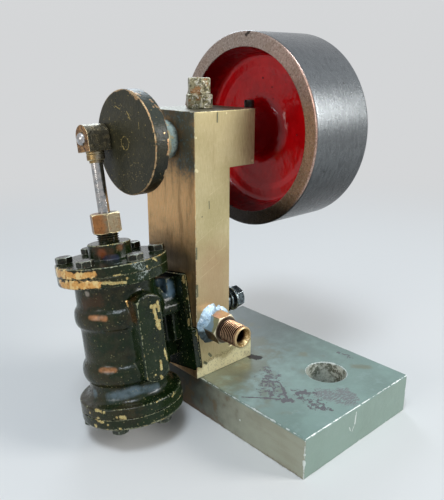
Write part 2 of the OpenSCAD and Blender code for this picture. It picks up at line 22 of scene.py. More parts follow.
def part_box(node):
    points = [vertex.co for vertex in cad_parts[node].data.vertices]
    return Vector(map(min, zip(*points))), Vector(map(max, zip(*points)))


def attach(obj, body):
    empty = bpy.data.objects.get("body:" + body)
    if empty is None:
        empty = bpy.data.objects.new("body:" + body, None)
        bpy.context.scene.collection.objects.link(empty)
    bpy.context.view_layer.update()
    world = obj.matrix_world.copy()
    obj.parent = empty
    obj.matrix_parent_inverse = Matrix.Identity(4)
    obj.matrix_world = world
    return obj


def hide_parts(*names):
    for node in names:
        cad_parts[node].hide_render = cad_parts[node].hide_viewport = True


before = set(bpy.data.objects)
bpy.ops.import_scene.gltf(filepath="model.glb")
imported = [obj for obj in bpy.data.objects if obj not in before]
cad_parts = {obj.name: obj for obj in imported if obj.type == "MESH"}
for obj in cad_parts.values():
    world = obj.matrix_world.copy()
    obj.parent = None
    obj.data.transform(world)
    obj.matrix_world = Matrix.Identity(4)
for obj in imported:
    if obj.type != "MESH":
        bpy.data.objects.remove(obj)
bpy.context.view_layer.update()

LOG = logging.getLogger("steam_engine")
MM = 0.001
# Edges that turn by more than this stay sharp.
SHARP = math.radians(38)
# Radius of the small ring that closes a turned end.
AXIS = 0.02
# Slope of the cone that the ends of a nut are turned to.
NUT_SLOPE = math.tan(math.radians(30))
# Seed of the vector noise, which would else start from the time of day.
SKIN_SEED = 5
# Section of a rounded edge: shares of its radius inwards and down, and its wear.
EDGE = ((1.0, 0.0, 0.5), (0.62, 0.07, 0.8), (0.3, 0.3, 1.0), (0.07, 0.62, 0.8), (0.0, 1.0, 0.5))
# Number of a Mix node's colour result among its outputs.
MIXED = 2

Point = tuple[float, float, float]
Colour = tuple[float, float, float, float]
Corner = tuple[float, ...]
# Points of a ring, each with its wear.
Ring = list[tuple[float, float, float, float]]
# A worn place: its middle and radius, or both ends of a line and its half width.
Mark = tuple[float, ...]
# Worn places that have a colour of their own.
Tinted = tuple[tuple[Mark, str], ...]


def tint(code: str) -> Colour:
    """Turns a written colour into the linear one that a shader takes.

    Args:
        code: Six hexadecimal digits, two for each of red, green and blue.

    Returns:
        The linear colour, with full opacity.
    """
    parts = [int(code[i:i + 2], 16) / 255 for i in (0, 2, 4)]
    red, green, blue = [p / 12.92 if p <= 0.04045 else ((p + 0.055) / 1.055) ** 2.4 for p in parts]
    return (red, green, blue, 1.0)


@dataclass(frozen=True)
class Axes:
    """The place and the turn of a part's own axes in the engine's frame, in millimetres."""

    origin: Point = (0.0, 0.0, 0.0)
    tilt: float = 0.0
    lay: float = 0.0

    def matrix(self) -> Matrix:
        """The axes as a matrix: laid over about Y first, then tilted about X."""
        turn = Matrix.Rotation(self.tilt, 4, "X") @ Matrix.Rotation(self.lay, 4, "Y")
        return Matrix.Translation(self.origin) @ turn

    def metres(self) -> Matrix:
        """The axes as a matrix for points in metres."""
        made = self.matrix()
        made.translation *= MM
        return made

    def moved(self, x: float = 0.0, y: float = 0.0, z: float = 0.0) -> Axes:
        """The same axes with their origin moved along them."""
        return Axes(tuple(self.matrix() @ Vector((x, y, z))), self.tilt, self.lay)

    def laid(self) -> Axes:
        """The same axes turned so that a piece built up +Z lies along +X."""
        return Axes(self.origin, self.tilt, math.pi / 2)


@dataclass(frozen=True)
class Plan:
    """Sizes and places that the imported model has, in millimetres."""

    side_x: float = -24.55
    head_x: float = -2.55
    column_x: float = -12.05
    front_y: float = 4.8
    back_y: float = 26.8
    shaft_y: float = 15.8
    shaft_z: float = 80.5
    pivot_z: float = 27.7
    base_top: float = 12.0
    std_top: float = 88.2
    foot_top: float = 18.4
    head_low: float = 72.8
    cyl_out: float = 17.5
    throw: float = 9.5
    crank_angle: float = math.radians(4.6)

    @property
    def pin(self) -> tuple[float, float]:
        """Way from the cylinder's pivot to the crank pin, to the back and up."""
        rise = self.shaft_z - self.pivot_z
        return (self.throw * math.cos(self.crank_angle),
                rise + self.throw * math.sin(self.crank_angle))

    @property
    def tilt(self) -> float:
        """Tilt of the rocking cylinder at rest, from upright towards the back."""
        return math.atan2(*self.pin)

    @property
    def pin_s(self) -> float:
        """Height of the crank pin along the cylinder's axis."""
        return math.hypot(*self.pin)


PLAN = Plan()
ENGINE = Axes()
SHAFT = Axes((0.0, PLAN.shaft_y, PLAN.shaft_z)).laid()
PORT = Axes((PLAN.side_x, PLAN.shaft_y, PLAN.pivot_z), -PLAN.tilt)
CYLINDER = PORT.moved(x=-PLAN.cyl_out)
NIPPLE = Axes((PLAN.side_x + 6.25, PLAN.front_y, PLAN.base_top + 15.9), math.pi / 2)


class Body(Enum):
    """The bodies that move against each other."""

    STAND = "stand"
    CRANK = "crank"
    ROCKER = "rocker"
    ROD = "rod"


# ---- Shapes ----


@dataclass
class Shape:
    """Points, faces and edge wear of a closed form, in millimetres in its part's own axes."""

    points: list[Point] = field(default_factory=list)
    faces: list[tuple[int, ...]] = field(default_factory=list)
    wear: list[float] = field(default_factory=list)

    def joined(self, other: Shape) -> Shape:
        """Puts another shape beside this one.

        Args:
            other: The other shape.

        Returns:
            Both as one shape.
        """
        first = len(self.points)
        return Shape(
            self.points + other.points,
            self.faces + [tuple(i + first for i in face) for face in other.faces],
            self.wear + other.wear,
        )

    def roughened(self, size: float, depth: float, seed: float) -> Shape:
        """The shape with an uneven skin.

        Args:
            size: Distance between two humps.
            depth: Height of a hump.
            seed: Shift of the pattern.

        Returns:
            The shape with each point moved a little.
        """
        noise.seed_set(SKIN_SEED)
        shift = Vector((seed, -seed, seed / 2))
        points = [
            tuple(Vector(p) + depth * noise.noise_vector(Vector(p) / size + shift))
            for p in self.points
        ]
        return Shape(points, self.faces, self.wear)


@dataclass(frozen=True)
class Outline:
    """A line with rounded corners, which knows its own insets.

    Attributes:
        corners: Points of two numbers, or three where a corner has its own radius.
        radius: Radius of the other corners.
        closed: Whether the line comes back to its start, anticlockwise.
        reach: Distance over which the wear fades out beside a corner.
        step: Largest gap between two points, or 0 for any gap.
        arc: Steps round a small corner, and a quarter of those round a large one.
        small: Radius from which a corner is large, and doesn't wear.
    """

    corners: Sequence[Corner]
    radius: float
    closed: bool = True
    reach: float = 0.3
    step: float = 0.0
    arc: int = 4
    small: float = 1.0

    def bare(self, by: float = 0.0) -> list[Point]:
        """Moves the line's own points inwards.

        Args:
            by: Distance inwards.

        Returns:
            The points, each with its wear from 0 to 1.
        """
        made: list[Point] = []
        count = len(self.corners)
        for i, corner in enumerate(self.corners):
            here = Vector(corner[:2])
            if not self.closed and i in (0, count - 1):
                made.append((here.x, here.y, 0.0))
                continue
            back = Vector(self.corners[i - 1][:2]) - here
            ahead = Vector(self.corners[(i + 1) % count][:2]) - here
            size = corner[2] if len(corner) > 2 else self.radius
            made += self.rounded(here, back, ahead, size, by)
        return made

    def rounded(self, here: Vector, back: Vector, ahead: Vector, size: float, by: float
                ) -> list[Point]:
        """Points round one corner.

        Args:
            here: The sharp corner.
            back: The side that comes in, from the corner.
            ahead: The side that goes out, from the corner.
            size: Radius.
            by: Distance inwards.

        Returns:
            Points, each with its wear.
        """
        turn = max(math.pi - back.angle(ahead), 0.02)
        out, on = back.normalized(), ahead.normalized()
        convex = (-out.x * on.y + out.y * on.x) > 0
        slope = math.tan(turn / 2)
        half = math.sin((math.pi - turn) / 2)
        size = min(size, 0.46 * min(back.length, ahead.length) / slope)
        inner = max(size - by, 0.004) if convex else size + by
        inwards = (out + on).normalized()
        sharp = here + inwards * (by / half * (1 if convex else -1))
        start, end = sharp + out * inner * slope, sharp + on * inner * slope
        centre = sharp + inwards * (inner / half)
        first, last = start - centre, end - centre
        worn = convex and 0 < size < self.small
        steps = self.arc if size < self.small else self.arc * 4
        sweep = first.angle(last)
        arc = []
        for k in range(steps + 1):
            t = k / steps
            spot = start.lerp(end, t)
            if sweep > 1e-4:
                way = first * math.sin((1 - t) * sweep) + last * math.sin(t * sweep)
                spot = centre + way / math.sin(sweep)
            arc.append((spot.x, spot.y, 0.5 + 0.5 * math.sin(math.pi * t) if worn else 0.0))

        def faded(corner: Vector, way: Vector, length: float) -> list[Point]:
            """Finds the point beside the corner where its wear has faded out.

            Args:
                corner: End of the corner's arc.
                way: Direction away from the corner.
                length: Length of the side.

            Returns:
                The point, if there is room for it.
            """
            cut = (corner - here).dot(way)
            clear = size * slope + self.reach
            if length * 0.5 <= clear:
                return []
            far = corner + way * (min(max(clear, cut + 0.04), 0.49 * length) - cut)
            return [(far.x, far.y, 0.0)]

        return faded(start, out, back.length) + arc + faded(end, on, ahead.length)

    def line(self, by: float = 0.0) -> list[Point]:
        """Moves the line inwards and adds points wherever two of them are far apart.

        Args:
            by: Distance inwards.

        Returns:
            The points, each with its wear.
        """
        points = self.bare(by)
        if not self.step:
            return points
        plain = self.bare()
        made = []
        for i, here in enumerate(points):
            j = (i + 1) % len(points)
            count = max(1, int(math.dist(plain[i][:2], plain[j][:2]) / self.step))
            for k in range(count):
                made.append(tuple(a + (b - a) * (k / count) for a, b in zip(here, points[j])))
        return made

    def ring(self, by: float, z: float, worn: float | None = None) -> Ring:
        """A ring of the line moved inwards, at one height.

        Args:
            by: Distance inwards.
            z: Height.
            worn: Least wear of the ring, or None for no wear at all.

        Returns:
            The ring.
        """
        return [(x, y, z, 0.0 if worn is None else max(w, worn)) for x, y, w in self.line(by)]


def stacked(rings: Sequence[Ring], hollow: bool = False) -> Shape:
    """Skins a row of rings that have the same number of points.

    Args:
        rings: The rings, each a list of points with their wear.
        hollow: Whether the last ring joins the first, else both ends are capped.

    Returns:
        The closed shape.
    """
    size, count = len(rings[0]), len(rings)
    points = [p[:3] for ring in rings for p in ring]
    wear = [p[3] for ring in rings for p in ring]
    faces: list[tuple[int, ...]] = []
    for k in range(count if hollow else count - 1):
        low, high = k * size, (k + 1) % count * size
        for i in range(size):
            j = (i + 1) % size
            faces.append((low + i, low + j, high + j, high + i))
    if not hollow:
        faces.append(tuple(reversed(range(size))))
        faces.append(tuple(range((count - 1) * size, count * size)))
    return Shape(points, faces, wear)


def turned(corners: Sequence[Corner], radius: float, hollow: bool = False, sides: int = 96,
           reach: float = 0.3) -> Shape:
    """Turns a section round +Z, as on a lathe.

    Args:
        corners: Corners of the section as radius and height, up its outside.
        radius: Rounding of the corners.
        hollow: Whether the section is closed, as that of a ring is.
        sides: Points round the axis.
        reach: Distance over which the edge wear fades out.

    Returns:
        The turned shape.
    """
    line = Outline(corners, radius, hollow, reach).line()
    turns = [2 * math.pi * i / sides for i in range(sides)]
    circle = [(math.cos(a), math.sin(a)) for a in turns]
    return stacked([[(r * c, r * s, z, worn) for c, s in circle] for r, z, worn in line], hollow)


def bar(radius: float, low: float, high: float, rim: float, sides: int = 96) -> Shape:
    """A plain turned bar from one height to another, with its rims rounded."""
    return turned([(AXIS, low), (radius, low), (radius, high), (AXIS, high)], rim, sides=sides)


def slab(outline: Sequence[Corner], height: float, corner: float, rim: float,
         reach: float = 0.3, hole: Point | None = None) -> Shape:
    """A plate or bar of one outline, with its edges rounded all round.

    Args:
        outline: Corners, anticlockwise.
        height: Thickness, up +Z.
        corner: Rounding of the outline's corners.
        rim: Rounding of the edges of both faces.
        reach: Distance over which the edge wear fades out.
        hole: Middle and radius of a hole through the plate.

    Returns:
        The shape.
    """
    line = Outline(outline, corner, reach=reach, step=2.2 if hole else 0.0)
    far = rim + reach
    rings = [
        line.ring(far, 0.0),
        *(line.ring(rim * by, rim * down, worn) for by, down, worn in EDGE),
        line.ring(0.0, far, 0.0),
        line.ring(0.0, height - rim - reach, 0.0),
        *(line.ring(rim * by, height - rim * down, worn) for by, down, worn in EDGE[::-1]),
        line.ring(far, height),
    ]
    if hole is None:
        return stacked(rings)
    middle, bore = Vector(hole[:2]), hole[2]
    spokes = [(Vector(p[:2]) - middle).normalized() for p in line.line()]
    wall = (
        (bore + rim + reach, height, 0.0), (bore + rim, height, 0.5),
        (bore + rim * 0.3, height - rim * 0.3, 1.0), (bore, height - rim, 0.5),
        (bore, height - rim - reach, 0.0), (bore, far, 0.0), (bore, rim, 1.0),
        (bore + rim, 0.0, 1.0), (bore + rim + reach, 0.0, 0.0),
    )
    rings += [[(*(spoke * r + middle), z, worn) for spoke in spokes] for r, z, worn in wall]
    return stacked(rings, hollow=True)


def nut(across: float, height: float, face: float = 0.96, corner: float = 0.12,
        bore: float = 0.0, spin: float = 0.0) -> Shape:
    """A hexagon whose ends are turned to a cone, as those of a nut are.

    Args:
        across: Width across the flats.
        height: Height, up +Z.
        face: Radius of the flat end face as a share of half the width.
        corner: Rounding of the six corners.
        bore: Radius of the hole, or 0 for none.
        spin: Turn about +Z.

    Returns:
        The shape.
    """
    outer = across / 2 / math.cos(math.pi / 6)
    turns = [spin + math.pi / 3 * i for i in range(6)]
    hexagon = [(outer * math.cos(a), outer * math.sin(a)) for a in turns]
    line = Outline(hexagon, corner, step=across / 12).line()
    flat, fade = across / 2 * face, 0.3

    def drop(x: float, y: float) -> float:
        """Depth of the cone's edge under the end face at a point of the outline."""
        return max(0.0, math.hypot(x, y) - flat) * NUT_SLOPE

    def disc(r: float, z: float, worn: float) -> Ring:
        """A round ring in step with the outline's points."""
        return [(x / math.hypot(x, y) * r, y / math.hypot(x, y) * r, z, worn) for x, y, _ in line]

    rings = [
        disc(flat, 0.0, 1.0),
        [(x, y, drop(x, y), 1.0) for x, y, _ in line],
        [(x, y, drop(x, y) + fade, w) for x, y, w in line],
        [(x, y, height - drop(x, y) - fade, w) for x, y, w in line],
        [(x, y, height - drop(x, y), 1.0) for x, y, _ in line],
        disc(flat, height, 1.0),
        disc(flat - fade, height, 0.0),
    ]
    if not bore:
        return stacked([disc(flat - fade, 0.0, 0.0)] + rings)
    rings += [
        disc(bore + fade / 2, height, 0.2), disc(bore, height - fade / 2, 0.6),
        disc(bore, fade / 2, 0.0), disc(bore + fade / 2, 0.0, 0.0), disc(flat - fade, 0.0, 0.0),
    ]
    return stacked(rings, hollow=True)


def as_mesh(shape: Shape, axes: Axes = ENGINE) -> Mesh:
    """Makes a mesh of a shape, in metres in the engine's frame.

    Args:
        shape: The shape.
        axes: Axes of its part.

    Returns:
        The mesh, with its faces pointing out.
    """
    mesh = bpy.data.meshes.new("shape")
    mesh.from_pydata(shape.points, [], shape.faces)
    worn = mesh.attributes.new("wear", "FLOAT", "POINT")
    worn.data.foreach_set("value", np.array(shape.wear, np.float32))
    mesh.transform(Matrix.Scale(MM, 4) @ axes.matrix())
    faced_out(mesh)
    return mesh


def faced_out(mesh: Mesh) -> None:
    """Points a mesh's faces outwards and shades it smooth between its sharp edges.

    Args:
        mesh: The closed mesh.
    """
    work = bmesh.new()
    work.from_mesh(mesh)
    bmesh.ops.recalc_face_normals(work, faces=work.faces)
    work.to_mesh(mesh)
    work.free()
    mesh.shade_smooth()
    mesh.set_sharp_from_angle(angle=SHARP)


def linked(name: str, data: Any) -> bpy.types.Object:
    """Makes an object and links it to the scene.

    Args:
        name: Its name.
        data: Its mesh, lamp or camera.

    Returns:
        The object.
    """
    made = bpy.data.objects.new(name, data)
    bpy.context.scene.collection.objects.link(made)
    return made


def applied(piece: bpy.types.Object) -> Mesh:
    """The plain mesh of a piece with its modifiers worked out."""
    graph = bpy.context.evaluated_depsgraph_get()
    return bpy.data.meshes.new_from_object(piece.evaluated_get(graph))


def put(mesh: Mesh, name: str, body: Body, finish: Material, node: str) -> None:
    """Makes a finished piece of a mesh, on its body.

    Args:
        mesh: The piece's mesh, already in its place.
        name: The piece's name.
        body: The body that it rides on.
        finish: The piece's material.
        node: The CAD node that it stands for.
    """
    mesh.name = name
    mesh.materials.clear()
    mesh.materials.append(finish)
    piece = linked(name, mesh)
    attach(piece, body.value)
    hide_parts(node)
    LOG.info("%s: %d faces on %s", name, len(mesh.polygons), body.value)


def dressed(node: str, finish: Material) -> None:
    """Gives a CAD node that keeps its shape its finish.

    Args:
        node: The node's name.
        finish: The node's material.
    """
    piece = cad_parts[node]
    piece.data.materials.clear()
    piece.data.materials.append(finish)
    LOG.info("%s keeps its shape", node)


# ---- Node trees ----


def operator(operation: str, swapped: bool = False) -> Callable[[Any, Any], Any]:
    """Makes an operator's method, which adds one node.

    Args:
        operation: The node's operation.
        swapped: Whether the other value comes first.

    Returns:
        The method.
    """
    def method(self: Any, other: Any) -> Any:
        """This and another, taken together by one node."""
        return self.sum(operation, *((other, self) if swapped else (self, other)))

    return method


class Field:
    """A number in a node tree, on which plain Python sums add Math nodes."""

    __add__ = __radd__ = operator("ADD")
    __sub__, __rsub__ = operator("SUBTRACT"), operator("SUBTRACT", swapped=True)
    __mul__ = __rmul__ = operator("MULTIPLY")
    __truediv__, __rtruediv__ = operator("DIVIDE"), operator("DIVIDE", swapped=True)
    over, under = operator("MAXIMUM"), operator("MINIMUM")

    def __init__(self, tree: Tree, socket: NodeSocket) -> None:
        """Wraps a socket of a tree."""
        self.tree, self.socket = tree, socket

    def sum(self, operation: str, *parts: Any) -> Field:
        """Adds one Math node."""
        made = self.tree.node("ShaderNodeMath", dict(enumerate(parts)), operation=operation)
        return Field(self.tree, made.outputs[0])

    def __neg__(self) -> Field:
        """This with its sign turned."""
        return self * -1.0

    def __abs__(self) -> Field:
        """This without its sign."""
        return self.sum("ABSOLUTE", self)

    def clipped(self) -> Field:
        """This held between 0 and 1."""
        return self.over(0.0).under(1.0)

    def swing(self, by: Any) -> Field:
        """What a noise from 0 to 1 adds and takes away, from minus to plus half of a factor."""
        return (self - 0.5) * by

    def rising(self, low: float, high: float, top: float = 1.0) -> Field:
        """Rises smoothly from 0 while this goes from one value to another.

        Args:
            low: Value at which the rise begins.
            high: Value at which it ends.
            top: What it rises to.

        Returns:
            The rise.
        """
        made = self.tree.node(
            "ShaderNodeMapRange",
            {"Value": self, "From Min": low, "From Max": high, "To Min": 0.0, "To Max": top},
            interpolation_type="SMOOTHSTEP",
        )
        return Field(self.tree, made.outputs["Result"])


class Place:
    """A point in a shader tree, in millimetres, on which plain sums add Vector Math nodes."""

    __add__, __sub__, __mul__ = operator("ADD"), operator("SUBTRACT"), operator("MULTIPLY")

    def __init__(self, tree: Tree, socket: NodeSocket) -> None:
        """Wraps a vector socket of a tree."""
        self.tree, self.socket = tree, socket

    def node(self, operation: str, *parts: Any) -> Node:
        """Adds one Vector Math node."""
        return self.tree.node("ShaderNodeVectorMath", dict(enumerate(parts)), operation=operation)

    def sum(self, operation: str, *parts: Any) -> Place:
        """Adds one node that gives a point."""
        return Place(self.tree, self.node(operation, *parts).outputs["Vector"])

    def dot(self, other: Any) -> Field:
        """The dot product with another."""
        return Field(self.tree, self.node("DOT_PRODUCT", self, other).outputs["Value"])

    def length(self) -> Field:
        """The length of this."""
        return Field(self.tree, self.node("LENGTH", self).outputs["Value"])

    def away(self) -> Field:
        """The distance of this from the Z axis."""
        return (self * (1, 1, 0)).length()

    def parts(self) -> list[Field]:
        """The three parts of this, each a number."""
        made = self.tree.node("ShaderNodeSeparateXYZ", {0: self})
        return [Field(self.tree, socket) for socket in made.outputs]


class Tree:
    """A node tree with one method that makes every node of it."""

    def __init__(self, tree: bpy.types.NodeTree) -> None:
        """Takes over a tree and empties it."""
        self.tree = tree
        tree.nodes.clear()

    def node(self, kind: str, inputs: dict[str | int, Any] | None = None, **settings: Any) -> Node:
        """Adds a node.

        Args:
            kind: The node's type.
            inputs: Values or links of its sockets, by name, identifier or number.
            settings: Its own settings, which are set first.

        Returns:
            The node.
        """
        made = self.tree.nodes.new(kind)
        for name, value in settings.items():
            setattr(made, name, value)
        for key, value in (inputs or {}).items():
            named = [socket for socket in made.inputs if socket.identifier == key]
            socket = named[0] if named else made.inputs[key]
            source = getattr(value, "socket", value)
            if isinstance(source, NodeSocket):
                self.tree.links.new(source, socket)
            else:
                socket.default_value = source
        return made

    def mix(self, share: Any, first: Any, second: Any) -> NodeSocket:
        """A colour from the first to the second as share goes from 0 to 1."""
        colours = {"Factor_Float": share, "A_Color": first, "B_Color": second}
        return self.node("ShaderNodeMix", colours, data_type="RGBA").outputs[MIXED]

    def seen(self) -> Field:
        """1 where the camera, a reflection or a clear thing looks, and 0 for light on the part."""
        ray = self.node("ShaderNodeLightPath").outputs
        shown = Field(self, ray["Is Camera Ray"]) + ray["Is Glossy Ray"]
        return (shown + ray["Is Transmission Ray"]).clipped()


class Surface(Tree):
    """The shader tree of one material."""

    def __init__(self, name: str) -> None:
        """Makes the material and its empty tree."""
        self.material = bpy.data.materials.new(name)
        self.material.use_nodes = True
        super().__init__(self.material.node_tree)

    def place(self, axes: Axes = ENGINE) -> Place:
        """Gives the point of the surface in a part's own axes.

        Args:
            axes: The part's axes.

        Returns:
            The point, in millimetres.
        """
        made = self.node(
            "ShaderNodeMapping",
            {
                "Vector": self.node("ShaderNodeTexCoord").outputs["Object"],
                "Location": axes.metres().translation,
                "Rotation": axes.matrix().to_euler("XYZ"),
                "Scale": (MM, MM, MM),
            },
            vector_type="TEXTURE",
        )
        return Place(self, made.outputs[0])

    def wear(self) -> Field:
        """How near an edge the surface is, from the mesh."""
        made = self.node("ShaderNodeAttribute", attribute_name="wear")
        return Field(self, made.outputs["Fac"])

    def grain(self, place: Place, size: float, detail: float = 3.0, stretch: Point = (1, 1, 1),
              rough: float = 0.55, swirl: float = 0.0) -> Field:
        """Noise from about 0 to 1.

        Args:
            place: The point.
            size: Width of one fleck in millimetres.
            detail: Number of finer layers.
            stretch: Factors on the three parts of the point.
            rough: Strength of the finer layers.
            swirl: Distortion.

        Returns:
            The noise.
        """
        made = self.node("ShaderNodeTexNoise", {
            "Vector": place * stretch, "Scale": 1.0 / size, "Detail": detail,
            "Roughness": rough, "Distortion": swirl,
        })
        return Field(self, made.outputs[0])

    def grains(self, place: Place, *sizes: float) -> list[Field]:
        """Noises of a few sizes."""
        return [self.grain(place, size, 4) for size in sizes]

    def cells(self, place: Place, size: float) -> Field:
        """Distance to the nearest of many scattered dots, as a share of their spacing."""
        made = self.node("ShaderNodeTexVoronoi", {"Vector": place, "Scale": 1.0 / size})
        return Field(self, made.outputs["Distance"])

    def layered(self, base: Any, *layers: tuple[Any, Any]) -> Any:
        """A colour with others laid over it.

        Args:
            base: The lowest colour, written or linked.
            layers: For each layer, the share that covers and its colour.

        Returns:
            The colour.
        """
        colour = tint(base) if isinstance(base, str) else base
        for share, layer in layers:
            colour = self.mix(share, colour, tint(layer) if isinstance(layer, str) else layer)
        return colour

    def marks(self, place: Place, ragged: Any, marks: Sequence[Mark]) -> Field:
        """Depth inside the nearest of a few marks, above 0 within one.

        Args:
            place: The point.
            ragged: What makes their outlines uneven, added to the depth.
            marks: The marks.

        Returns:
            The depth, where 1 is the middle line of a mark.
        """
        deepest = Field(self, self.node("ShaderNodeValue").outputs[0])
        deepest.socket.default_value = -1.0
        for mark in marks:
            away = place - mark[:3]
            if len(mark) > 4:
                line = Vector(mark[3:6]) - Vector(mark[:3])
                share = (away.dot(tuple(line)) / line.length_squared).clipped()
                nearest = self.node(
                    "ShaderNodeVectorMath", {0: tuple(line), "Scale": share}, operation="SCALE"
                )
                away = away - nearest.outputs["Vector"]
            deepest = deepest.over(1.0 - away.length() / mark[-1])
        return deepest + ragged

    def dots(self, place: Place, region: Field, size: float) -> Field:
        """Fine dots of uneven size inside a region, which is given by its depth."""
        keep = self.grain(place, size * 1.7, 3).rising(0.5, 0.58)
        return (0.3 - self.cells(place, size)).rising(0.0, 0.08) * keep * region.rising(-0.3, 0.3)

    def flecks(self, place: Place, region: Field, size: float) -> Field:
        """Small torn specks that gather inside a region, which is given by its depth."""
        grain = self.grain(place, size, 5, rough=0.66) + region.rising(-0.4, 1.0, 0.13)
        return grain.rising(0.6, 0.63) * region.rising(-0.3, 0.1)

    def finish(self, colour: Any, roughness: Any, metallic: Any, height: Field, **fixed: Any
               ) -> Material:
        """Closes the tree with its shader.

        Args:
            colour: Base colour.
            roughness: Roughness.
            metallic: Share of bare metal.
            height: Height of the fine relief, in millimetres.
            fixed: Other sockets of the shader, with underscores for spaces.

        Returns:
            The material.
        """
        bump = self.node("ShaderNodeBump", {"Strength": 1.0, "Distance": MM, "Height": height})
        shader = self.node("ShaderNodeBsdfPrincipled", {
            "Base Color": colour, "Roughness": roughness, "Metallic": metallic,
            "Normal": bump.outputs["Normal"],
            **{name.replace("_", " "): value for name, value in fixed.items()},
        })
        self.node("ShaderNodeOutputMaterial", {"Surface": shader.outputs[0]})
        return self.material


class Sweep(Tree):
    """A Geometry Nodes tree that makes one mesh from named sizes."""

    def __init__(self, name: str, sizes: dict[str, Any]) -> None:
        """Makes the tree.

        Args:
            name: The tree's name.
            sizes: The value of each named input: a number, an object or a material.
        """
        self.group = bpy.data.node_groups.new(name, "GeometryNodeTree")
        super().__init__(self.group)
        self.values: dict[str, Any] = {}
        kinds = {float: "Float", int: "Int"}
        for title, value in sizes.items():
            kind = "NodeSocket" + kinds.get(type(value), type(value).__name__)
            made = self.group.interface.new_socket(title, in_out="INPUT", socket_type=kind)
            self.values[made.identifier] = value
        self.group.interface.new_socket(
            "Geometry", in_out="OUTPUT", socket_type="NodeSocketGeometry"
        )
        self.given = self.node("NodeGroupInput").outputs

    def turned(self, geometry: NodeSocket) -> NodeSocket:
        """Turns geometry about Z by the input named Turn.

        Args:
            geometry: What is turned.

        Returns:
            The turned geometry.
        """
        around = self.node("ShaderNodeCombineXYZ", {"Z": self.given["Turn"]})
        made = self.node("GeometryNodeTransform",
                         {"Geometry": geometry, "Rotation": around.outputs[0]})
        return made.outputs[0]

    def made(self, geometry: NodeSocket, axes: Axes) -> Mesh:
        """Runs the tree once, with the material of the input named Finish.

        Args:
            geometry: What the tree has built.
            axes: Axes of the part, in which the tree works in metres.

        Returns:
            The plain mesh, in its place.
        """
        solid = self.node("GeometryNodeRealizeInstances", {0: geometry})
        painted = self.node("GeometryNodeSetMaterial",
                            {"Geometry": solid.outputs[0], "Material": self.given["Finish"]})
        self.node("NodeGroupOutput", {0: painted.outputs[0]})
        carrier = linked(self.group.name, bpy.data.meshes.new(self.group.name))
        modifier = carrier.modifiers.new("build", "NODES")
        modifier.node_group = self.group
        for identifier, value in self.values.items():
            modifier[identifier] = value
        carrier.update_tag()
        bpy.context.view_layer.update()
        mesh = applied(carrier)
        carrier.modifiers.remove(modifier)
        bpy.data.objects.remove(carrier)
        mesh.transform(axes.metres())
        faced_out(mesh)
        return mesh


def bolt_circle(head: Shape, radius: float, turn: float, seed: int, finish: Material,
                axes: Axes) -> Mesh:
    """Six bolt heads on a circle, each turned a little at random, by Geometry Nodes.

    Args:
        head: One head, standing on z = 0.
        radius: Radius of the circle.
        turn: Place of the first head round the circle.
        seed: Seed of the turns.
        finish: Material.
        axes: Axes of the circle.

    Returns:
        The mesh of all heads.
    """
    model = linked("bolt_head", as_mesh(head))
    uneven = 0.5
    tree = Sweep("bolt_circle", {
        "Head": model, "Count": 6, "Radius": radius * MM, "Turn": turn,
        "Unevenness": uneven, "Seed": seed, "Finish": finish,
    })
    circle = tree.node(
        "GeometryNodeMeshCircle",
        {"Vertices": tree.given["Count"], "Radius": tree.given["Radius"]}, fill_type="NONE",
    )
    placed = tree.turned(circle.outputs[0])
    spot = tree.node("GeometryNodeInputPosition").outputs[0]
    here = tree.node("ShaderNodeSeparateXYZ", {0: spot}).outputs
    out = tree.node("ShaderNodeMath", {0: here[1], 1: here[0]}, operation="ARCTAN2")
    extra = tree.node(
        "FunctionNodeRandomValue",
        {"Min_001": -uneven, "Max_001": tree.given["Unevenness"], "Seed": tree.given["Seed"]},
        data_type="FLOAT",
    )
    spin = Field(tree, out.outputs[0]) + extra.outputs[1]
    euler = tree.node("ShaderNodeCombineXYZ", {"Z": spin})
    turns = tree.node("FunctionNodeEulerToRotation", {0: euler.outputs[0]})
    shape = tree.node("GeometryNodeObjectInfo", {"Object": tree.given["Head"]})
    heads = tree.node("GeometryNodeInstanceOnPoints", {
        "Points": placed, "Instance": shape.outputs["Geometry"], "Rotation": turns.outputs[0],
    })
    mesh = tree.made(heads.outputs[0], axes)
    bpy.data.objects.remove(model)
    return mesh


def coil(radius: float, length: float, turns: float, wire: float, sides: int, spin: float,
         finish: Material, axes: Axes) -> Mesh:
    """A wire wound along +Z, which is a spring or the ridge of a thread, by Geometry Nodes.

    Args:
        radius: Radius of the wire's middle line.
        length: Height of the winding.
        turns: Number of turns.
        wire: Radius of the wire's section.
        sides: Sides of the section, where 3 gives a thread's ridge.
        spin: Turn of the section.
        finish: Material.
        axes: Axes of the winding.

    Returns:
        The mesh.
    """
    tree = Sweep("coil", {
        "Radius": radius * MM, "Length": length * MM, "Turns": turns, "Wire": wire * MM,
        "Sides": sides, "Turn": spin, "Finish": finish,
    })
    winding = tree.node("GeometryNodeCurveSpiral", {
        "Resolution": 40, "Rotations": tree.given["Turns"], "Start Radius": tree.given["Radius"],
        "End Radius": tree.given["Radius"], "Height": tree.given["Length"],
    })
    upright = tree.node("GeometryNodeSetCurveNormal", {"Curve": winding.outputs[0]}, mode="Z_UP")
    ring = tree.node(
        "GeometryNodeCurvePrimitiveCircle",
        {"Resolution": tree.given["Sides"], "Radius": tree.given["Wire"]}, mode="RADIUS",
    )
    swept = tree.node("GeometryNodeCurveToMesh", {
        "Curve": upright.outputs[0], "Profile Curve": tree.turned(ring.outputs[0]),
        "Fill Caps": True,
    })
    return tree.made(swept.outputs[0], axes)


